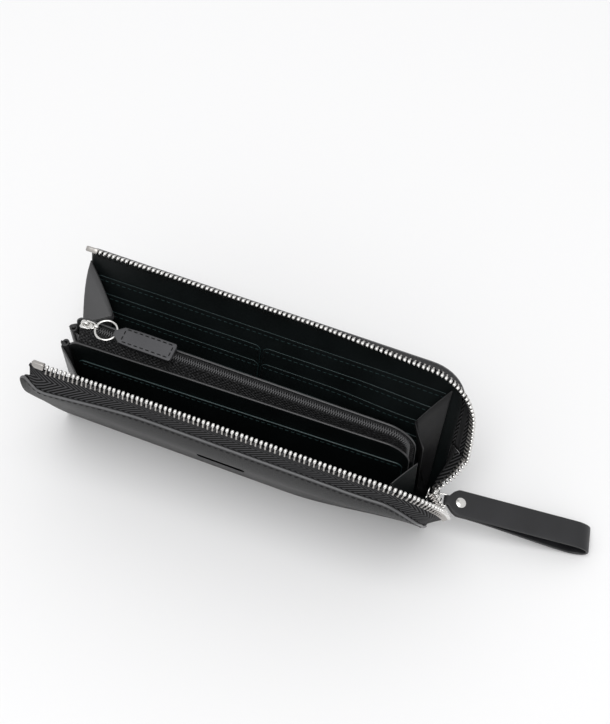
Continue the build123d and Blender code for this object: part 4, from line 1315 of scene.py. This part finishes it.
def main_slider():
    """Cast slider: two plates on a post, and a bridge for the pull."""
    lo, hi = SLIDER_LO, SLIDER_HI
    inner_x = lo.x
    plate = 1.0 * MM
    channel = 3.0 * MM
    shape = Shape()
    outline = slider_outline(4.6 * MM, 3.1 * MM, lo.z, hi.z)
    outer_face = inner_x + plate + channel
    flat_form(shape, outline, lambda a, b, h: Vector((outer_face + h, a, b)), plate, 0.25 * MM)
    flat_form(shape, outline, lambda a, b, h: Vector((inner_x + plate - h, a, b)), plate, 0.0)
    post = ((0.2 * MM, -0.2 * MM), (0.9 * MM, 0.0), (0.9 * MM, channel), (0.2 * MM, channel + 0.2 * MM))
    lathe(shape, post, Vector((inner_x + plate, 0, hi.z - 2.4 * MM)), X_AXIS, 12)
    bridge_out = hi.x - 0.35 * MM
    face = outer_face + plate - 0.2 * MM
    z0, z1 = lo.z + 1.75 * MM, hi.z - 2.85 * MM
    knots = ((face, z0), (face + 1.5 * MM, z0 + 0.05 * MM), (bridge_out, z0 + 1.2 * MM),
             (bridge_out, (z0 + z1) / 2), (bridge_out, z1 - 1.2 * MM), (face + 1.5 * MM, z1 - 0.05 * MM),
             (face, z1))
    slider_bridge(shape, [Vector((x, 0, z)) for x, z in knots], 1.2 * MM, 0.34 * MM)
    add_piece(shape, "zip_slider_casting", (NICKEL,), "zip_slider", "metal", "zip_slider_body")


def pivot_of(name):
    return Vector(JOINT[name]["pos_m"])


STRAP_SLOPE = radians(13.3)


def strap_axes():
    """Origin and axes of the strap at rest: along it, across it and up from its face."""
    origin = pivot_of("strap_lift")
    across = -Vector(JOINT["strap_lift"]["axis"]).normalized()
    along = across.cross(UP) * cos(STRAP_SLOPE) - UP * sin(STRAP_SLOPE)
    return origin, along, across, along.cross(across)


def pull_link():
    """Round-cornered wire link between the slider's bridge and the strap."""
    near = pivot_of("pull_lift")
    far = pivot_of("strap_lift")
    along = (far - near).normalized()
    across = Vector((-along.y, along.x, 0))
    half_length = (far - near).length / 2
    half_width = 3.15 * MM
    centre = (near + far) / 2
    corner = 0.9 * MM
    line = []
    for k in range(48):
        turn = 2 * pi * k / 48
        a = max(-1, min(1, 1.9 * cos(turn)))
        b = max(-1, min(1, 1.9 * sin(turn)))
        ease = corner * (1 - abs(abs(a) - abs(b))) * 0.25
        line.append(centre + along * (a * (half_length - ease)) + across * (b * (half_width - ease)))
    shape = Shape()
    wire_loop(shape, line, 0.44 * MM, 0.4)
    add_piece(shape, "slider_wire_link", (NICKEL,), "slider_pull", "metal", "slider_pull_link")


STRAP_LENGTH = 75 * MM
STRAP_T = 1.3 * MM
STRAP_END_R = 5 * MM
STRAP_END_REACH = 9 * MM    # the far end is longer than round
RIVET_AT = 6.8 * MM
STRAP_HALF = 6.75 * MM
NECK_HALF = 2.45 * MM
SHOULDER = 1.7 * MM
SHOULDER_HALF = 4.3 * MM
EYE_R = 1.5 * MM


def strap_line():
    """Middle of the strap's leather in its own frame, (x, z) and thickness, once round the whole loop."""
    top = STRAP_T / 2 + 0.05 * MM
    end_x = STRAP_LENGTH - STRAP_END_REACH
    radius = STRAP_END_R - STRAP_T / 2
    reach = STRAP_END_REACH - STRAP_T / 2
    stations = []

    def add(x, z, thick=STRAP_T):
        stations.append((x, z, thick))
    for k in range(9):
        add(between(3 * MM, RIVET_AT + 5 * MM, k / 8), top, between(1.05 * MM, STRAP_T, min(1, k / 3)))
    for k in range(1, 30):
        add(between(RIVET_AT + 5 * MM, end_x, k / 30), top)
    for k in range(17):
        turn = pi * k / 16
        add(end_x + reach * sin(turn), top - radius + radius * cos(turn))
    split = RIVET_AT + 4.5 * MM
    for k in range(1, 30):
        share = k / 30
        add(between(end_x, split, share), between(top - 2 * radius, -top, 0.5 * share + 0.5 * smooth(share)))
    for k in range(9):
        add(between(split, 3 * MM, k / 8), -top, between(STRAP_T, 1.05 * MM, max(0, k - 5) / 3))
    wall = 0.62 * MM
    for k in range(1, 13):
        turn = pi * k / 13
        mid = EYE_R - wall / 2
        add(between(1.4 * MM, 0, sin(turn)) - mid * sin(turn), -mid * cos(turn),
            wall + 0.25 * MM * (1 - sin(turn)))
    return stations


def strap_half(x):
    """Half the strap's width: narrow at the neck, then full."""
    if x < SHOULDER:
        return between(NECK_HALF, SHOULDER_HALF, min(max((x - SHOULDER + 0.8 * MM) / (0.8 * MM), 0), 1))
    return between(SHOULDER_HALF, STRAP_HALF, min((x - SHOULDER) / (RIVET_AT - 1.3 * MM - SHOULDER), 1))


def paint_edges(shape, section, count):
    """Give the first faces of a strap edge paint where they lie at either side of its section."""
    for index in range(count):
        j = index % len(section)
        if abs(section[j][0]) > 0.94 and abs(section[(j + 1) % len(section)][0]) > 0.94:
            shape.slots[index] = 1


def wrist_strap():
    """The strap's band as one closed loop, with a groove where its two layers meet at the cut edge."""
    origin, along, across, up = strap_axes()
    stations = strap_line()
    count = len(stations)
    corner = ((1.0, 0.45), (0.965, 0.88), (0.9, 1.0), (0.5, 1.0))
    section = [(a * w, b * t) for a in (1, -1) for b in (1, -1) for w, t in corner]
    section = sorted_ring(section + [(0.975, 0.0), (-0.975, 0.0)])
    run = [0.0]
    for (xa, za, _), (xb, zb, _) in zip(stations, stations[1:]):
        run.append(run[-1] + hypot(xb - xa, zb - za))

    def point(i, j):
        x, z, thick = stations[i % count]
        before = stations[i - 1]
        after = stations[(i + 1) % count]
        way = Vector((after[0] - before[0], after[1] - before[1])).normalized()
        w, t = section[j % len(section)]
        px = x - way.y * t * thick / 2
        pz = z + way.x * t * thick / 2
        return origin + along * px + across * (strap_half(x) * w) + up * pz

    def uv(i, j):
        w, t = section[j % len(section)]
        return (run[i] if i < count else run[-1] + 1 * MM) / MM, w * STRAP_HALF / MM + t * 0.4
    shape = Shape()
    shape.grid(count, len(section), point, uv, wrap_rows=True, wrap_cols=True)
    paint_edges(shape, section, len(shape.faces))
    add_piece(shape, "wrist_strap_leather", (STRAP, DARK_EDGE), "wrist_strap", "strap_leather",
              "wrist_strap")


def sorted_ring(points):
    """Points of a convex outline in order round its middle."""
    return sorted(points, key=lambda p: atan2(p[1], p[0]))


def strap_rivet():
    """Domed rivet cap with a rolled rim, and its flat base below."""
    origin, along, _, up = strap_axes()
    place = origin + along * RIVET_AT
    top = STRAP_T + 0.05 * MM
    cap = Shape()
    profile = ((1.2, -0.2), (2.5, 0.0), (2.62, 0.12), (2.6, 0.3), (2.42, 0.42), (2.3, 0.4), (2.15, 0.46),
               (1.6, 0.72), (0.9, 0.88), (0.3, 0.92))
    lathe(cap, [(r * MM, top + h * MM) for r, h in profile], place, up, 32)
    add_piece(cap, "strap_rivet_dome", (NICKEL,), "wrist_strap", "metal", "strap_rivet_cap")
    base = Shape()
    profile = ((1.1, -0.3), (2.5, 0.0), (2.6, 0.15), (2.55, 0.4), (2.2, 0.55), (1.2, 0.62), (0.8, 0.5),
               (0.3, 0.48))
    lathe(base, [(r * MM, top + h * MM) for r, h in profile], place, -up, 32)
    add_piece(base, "strap_rivet_foot", (NICKEL,), "wrist_strap", "metal", "strap_rivet_base")


def bottom_stop():
    """Pressed clip below the slider."""
    lo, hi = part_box("zip_bottom_stop")
    mid = (lo + hi) / 2
    half = (hi - lo) / 2
    shape = Shape()
    rings = []
    for share, size in ((-1, 0.75), (-0.95, 0.92), (-0.8, 1), (0.8, 1), (0.95, 0.92), (1, 0.75)):
        spot = mid + Vector((0, half.y * share, 0))
        rings.append(round_section(spot, X_AXIS, UP, half.x * size, half.z * size, 16, 0.35))
    shape.loft(rings)
    add_piece(shape, "zip_bottom_clip", (NICKEL,), "centre", "metal", "zip_bottom_stop")


# ---------------------------------------------------------------- purse slider, ring and puller
PULL_LEVEL = pivot_of("tab_lift").z


def small_slider():
    """Slider of the purse's zip: a shield plate above the coil, one below and a bridge."""
    lo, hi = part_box("purse_slider_body")
    mid_x = (lo.x + hi.x) / 2
    half_x = (hi.x - lo.x) / 2
    shape = Shape()
    coil_top = COIL_Z + COIL_H / 2
    outline = [(-b, a) for a, b in slider_outline(2.7 * MM, 1.8 * MM, -half_x, half_x, 32)]
    upper = coil_top + 0.2 * MM
    flat_form(shape, outline, lambda a, b, h: Vector((mid_x + a, COIL_Y + b, upper + h)), 0.85 * MM,
              0.15 * MM)
    narrow = [(a, b * 0.55) for a, b in outline]
    lower = lo.z + 0.8 * MM
    flat_form(shape, narrow, lambda a, b, h: Vector((mid_x + a, COIL_Y + b, lower - h)), 0.8 * MM, 0.0)
    start, end = mid_x - 2.35 * MM, mid_x + 1.05 * MM
    high = hi.z - 0.35 * MM
    base = coil_top + 0.85 * MM
    corner = 0.8 * MM
    knots = ((start, base), (start, high - corner), (start + corner, high), (end - corner, high),
             (end, high - corner), (end, base))
    slider_bridge(shape, [Vector((x, COIL_Y, z)) for x, z in knots], 0.8 * MM, 0.32 * MM)
    add_piece(shape, "purse_slider_casting", (NICKEL,), "purse_slider", "metal", "purse_slider_body")


def slider_tab():
    """Cast tab: an oblong loop on the slider's bridge and a round eye for the ring."""
    shape = Shape()
    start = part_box("purse_slider_tab")[0].x + 0.4 * MM
    eye = pivot_of("ring_swing")
    end = eye.x - 0.9 * MM
    half = 1.58 * MM
    line = []
    for k in range(40):
        turn = 2 * pi * k / 40
        a = signed_power(cos(turn), 0.45)
        b = signed_power(sin(turn), 0.45)
        line.append(Vector((between(start, end, (a + 1) / 2), COIL_Y + b * half, PULL_LEVEL)))
    wire_loop(shape, line, 0.38 * MM, 0.5)
    rings = ((-0.8, 0.95, 1.3), (-0.6, 0.86, 1.46), (0.6, 0.86, 1.46), (0.8, 0.95, 1.3))
    steps = 28

    def eye_point(i, j):
        y, r_in, r_out = (rings + rings[::-1])[i]
        radius = r_out if i < 4 else r_in
        turn = 2 * pi * j / steps
        return eye + Vector((cos(turn) * radius * MM, y * MM, sin(turn) * radius * MM))
    shape.grid(8, steps, eye_point, lambda i, j: (i * 0.5, j * 0.3), wrap_rows=True, wrap_cols=True)
    add_piece(shape, "purse_slider_cast_tab", (NICKEL,), "purse_tab", "metal", "purse_slider_tab")


def pull_ring():
    """Round wire ring in the tab's eye."""
    lo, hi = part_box("purse_pull_ring")
    centre = (lo + hi) / 2
    wire = (hi.z - lo.z) / 2
    radius = (hi.x - lo.x) / 2 - wire

    def point(i, j):
        turn = 2 * pi * i / 48
        around = 2 * pi * j / 10
        out = X_AXIS * cos(turn) + Y_AXIS * sin(turn)
        return centre + out * (radius + cos(around) * wire) + UP * (sin(around) * wire)
    shape = Shape()
    shape.grid(48, 10, point, lambda i, j: (i * 0.6, j * 0.3), wrap_rows=True, wrap_cols=True)
    add_piece(shape, "purse_wire_ring", (NICKEL,), "purse_ring", "metal", "purse_pull_ring")


PULLER_LO, PULLER_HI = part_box("purse_puller")
PULLER_LEFT = PULLER_HI.x - 28 * MM     # where the body ends and the neck starts


def puller_line(half_w):
    """Stations from the neck to the square end, as (x, half width, share of the thickness)."""
    left, right = PULLER_LEFT, PULLER_HI.x
    neck_end = PULLER_LO.x + 0.4 * MM
    stations = []
    for k in range(7):
        share = k / 6
        stations.append((between(neck_end, left - 2.2 * MM, share), 1.8 * MM, between(0.72, 0.9, share)))
    for k in range(1, 8):
        share = k / 7
        half = between(1.8 * MM, half_w - 0.5 * MM, share ** 1.2)
        stations.append((between(left - 2.2 * MM, left + 1.2 * MM, share), half, 0.95))
    for k in range(1, 16):
        half = half_w - 0.5 * MM + 0.5 * MM * min(1, k / 4)
        full = 0.95 + 0.05 * sin(pi * k / 15)
        stations.append((between(left + 1.2 * MM, right - 1.1 * MM, k / 15), half, full))
    for k in range(1, 6):
        turn = pi / 2 * k / 5
        stations.append((right - 1.1 * MM + sin(turn) * 1.0 * MM, half_w - 1.1 * MM * (1 - cos(turn)), 0.94))
    return stations


def puller():
    """Leather puller: a flat body, tapering to a neck folded round the ring."""
    half = (PULLER_HI - PULLER_LO) / 2
    stations = puller_line(half.y)
    quarter = ((0.995, 0.45), (0.95, 0.85), (0.86, 0.97), (0.5, 1.0))
    section = [(1.0, 0.0), *quarter, (0.0, 1.02), *((-w, t) for w, t in quarter[::-1]), (-1.0, 0.0),
               *((-w, -t) for w, t in quarter), *((w, -t) for w, t in quarter[::-1])]
    shape = Shape()

    def point(i, j):
        x, half_w, thick = stations[i]
        w, t = section[j]
        edge = half_w * w * (0.985 if t == 0.0 and abs(w) == 1.0 else 1.0)
        return Vector((x, COIL_Y + edge, PULL_LEVEL + t * thick * half.z))
    shape.grid(len(stations), len(section), point,
               lambda i, j: (stations[i][0] / MM, section[j % len(section)][0] * stations[i][1] / MM),
               wrap_cols=True, caps=True)
    paint_edges(shape, section, len(shape.faces) - 2)
    add_piece(shape, "purse_puller_leather", (PULLER, DARK_EDGE), "purse_puller", "strap_leather",
              "purse_puller")


def puller_stitching():
    """Border of stitches on both faces of the puller's body."""
    half = (PULLER_HI - PULLER_LO) / 2
    inset = 1.5 * MM
    near, far, edge_y = PULLER_LEFT + 2.2 * MM, PULLER_HI.x - inset, half.y - inset
    corners = [(near, -edge_y), (far, -edge_y), (far, edge_y), (near, edge_y), (near, -edge_y)]
    trails = []
    for normal in (UP, -UP):
        z = PULL_LEVEL + normal.z * half.z * 0.985
        line = [(Vector((x, COIL_Y + y, z)), normal) for x, y in corners]
        trails += [Trail([start, end]) for start, end in zip(line, line[1:])]
    seam("purse_puller_stitching", trails, "purse_puller", BLACK_THREAD, "strap_leather", 0.5 * MM)


# ---------------------------------------------------------------- CAD pieces that stay
def dress_cad_pieces():
    """Materials for the CAD pieces whose own shape is shown."""
    fabric = Shader("cad_lining_weave", (0.006, 0.008, 0.008), 0.75, Sheen_Weight=0.2)
    fabric.where(on_cad=True)
    weave = fabric.noise(1.8, 2)
    fabric.color(weave, (0.003, 0.004, 0.004), (0.012, 0.014, 0.015))
    fabric.bump(weave, 0.8, 0.1 * MM)
    plain = Shader("cad_leather_smooth", (0.012, 0.012, 0.013), 0.5)
    plain.where(on_cad=True)
    grain = plain.noise(2.2, 3)
    plain.color(grain, (0.008, 0.008, 0.009), (0.02, 0.02, 0.021))
    plain.bump(grain, 0.6, 0.08 * MM)
    nickel = metal("cad_nickel", (0.80, 0.79, 0.77), 0.17, on_cad=True)
    dressed = {"purse_lining": fabric.material, "purse_end_web": plain.material, "zip_foot": fabric.material,
               "purse_zip_end_stop": nickel}
    for node, material in dressed.items():
        mesh = frame["nodes"][node].data
        mesh.materials.clear()
        mesh.materials.append(material)


# ---------------------------------------------------------------- studio
LIGHT_PLACE = (0.1, -0.45, 1.95)
LIGHT_SIZE = (1.3, 1.3)
LIGHT_POWER = 20
WORLD_STRENGTH = 0.74
CAMERA_PLACE = Vector((0.1396, -0.2788, 0.6441))
CAMERA_TARGET = Vector((0.0176, 0.0304, 0.0567))
CAMERA_LENS = 69.56
SENSOR_HEIGHT = 36


def floor():
    """Pale floor under and behind the wallet."""
    shape = Shape()
    shape.grid(9, 9, lambda i, j: Vector(((i - 4) * 0.75, (j - 4) * 0.75, 0)), lambda i, j: (i, j))
    paper = Shader("floor_paper", (0.86, 0.86, 0.865), 0.8)
    grain = paper.noise(3.0, 2)
    paper.bump(grain, 0.05, 0.05 * MM)
    piece = shape.piece("studio_floor", paper.material)


def area_light(name, location, target, size, power):
    data = bpy.data.lights.new(name, "AREA")
    data.shape = "RECTANGLE"
    data.size, data.size_y = size
    data.energy = power
    light = bpy.data.objects.new(name, data)
    light.location = location
    light.rotation_euler = (Vector(target) - Vector(location)).to_track_quat("-Z", "Y").to_euler()
    bpy.context.scene.collection.objects.link(light)


def studio():
    """Pale floor, soft light from above, and the camera."""
    floor()
    world = bpy.data.worlds.new("studio_world")
    world.use_nodes = True
    background = world.node_tree.nodes["Background"]
    background.inputs[0].default_value = (1, 1, 1, 1)
    background.inputs[1].default_value = WORLD_STRENGTH
    bpy.context.scene.world = world
    area_light("key_above", LIGHT_PLACE, (0, 0, 0), LIGHT_SIZE, LIGHT_POWER)
    bpy.context.scene.view_settings.view_transform = "Standard"
    data = bpy.data.cameras.new("camera")
    data.sensor_fit = "VERTICAL"
    data.sensor_height = SENSOR_HEIGHT
    data.lens = CAMERA_LENS
    camera = bpy.data.objects.new("camera", data)
    camera.location = CAMERA_PLACE
    camera.rotation_euler = (CAMERA_TARGET - CAMERA_PLACE).to_track_quat("-Z", "Y").to_euler()
    bpy.context.scene.collection.objects.link(camera)
    bpy.context.scene.camera = camera


# ---------------------------------------------------------------- build
for side in (-1, 1):
    outer_leather(side)
    inner_lining(side)
    cover_stitching(side)
    main_tape(side)
    main_teeth(side)
    top_stop(side)
    tail_tape(side)
    tail_teeth(side)
    for end in (-1, 1):
        gusset_seam(side, end, gusset(side, end))
name_plate()
card_pockets()
purse_panels()
purse_coil()
purse_tape(front=True)
purse_tape(front=False)
purse_ears()
main_slider()
pull_link()
wrist_strap()
strap_rivet()
bottom_stop()
small_slider()
slider_tab()
pull_ring()
puller()
puller_stitching()
dress_cad_pieces()
studio()
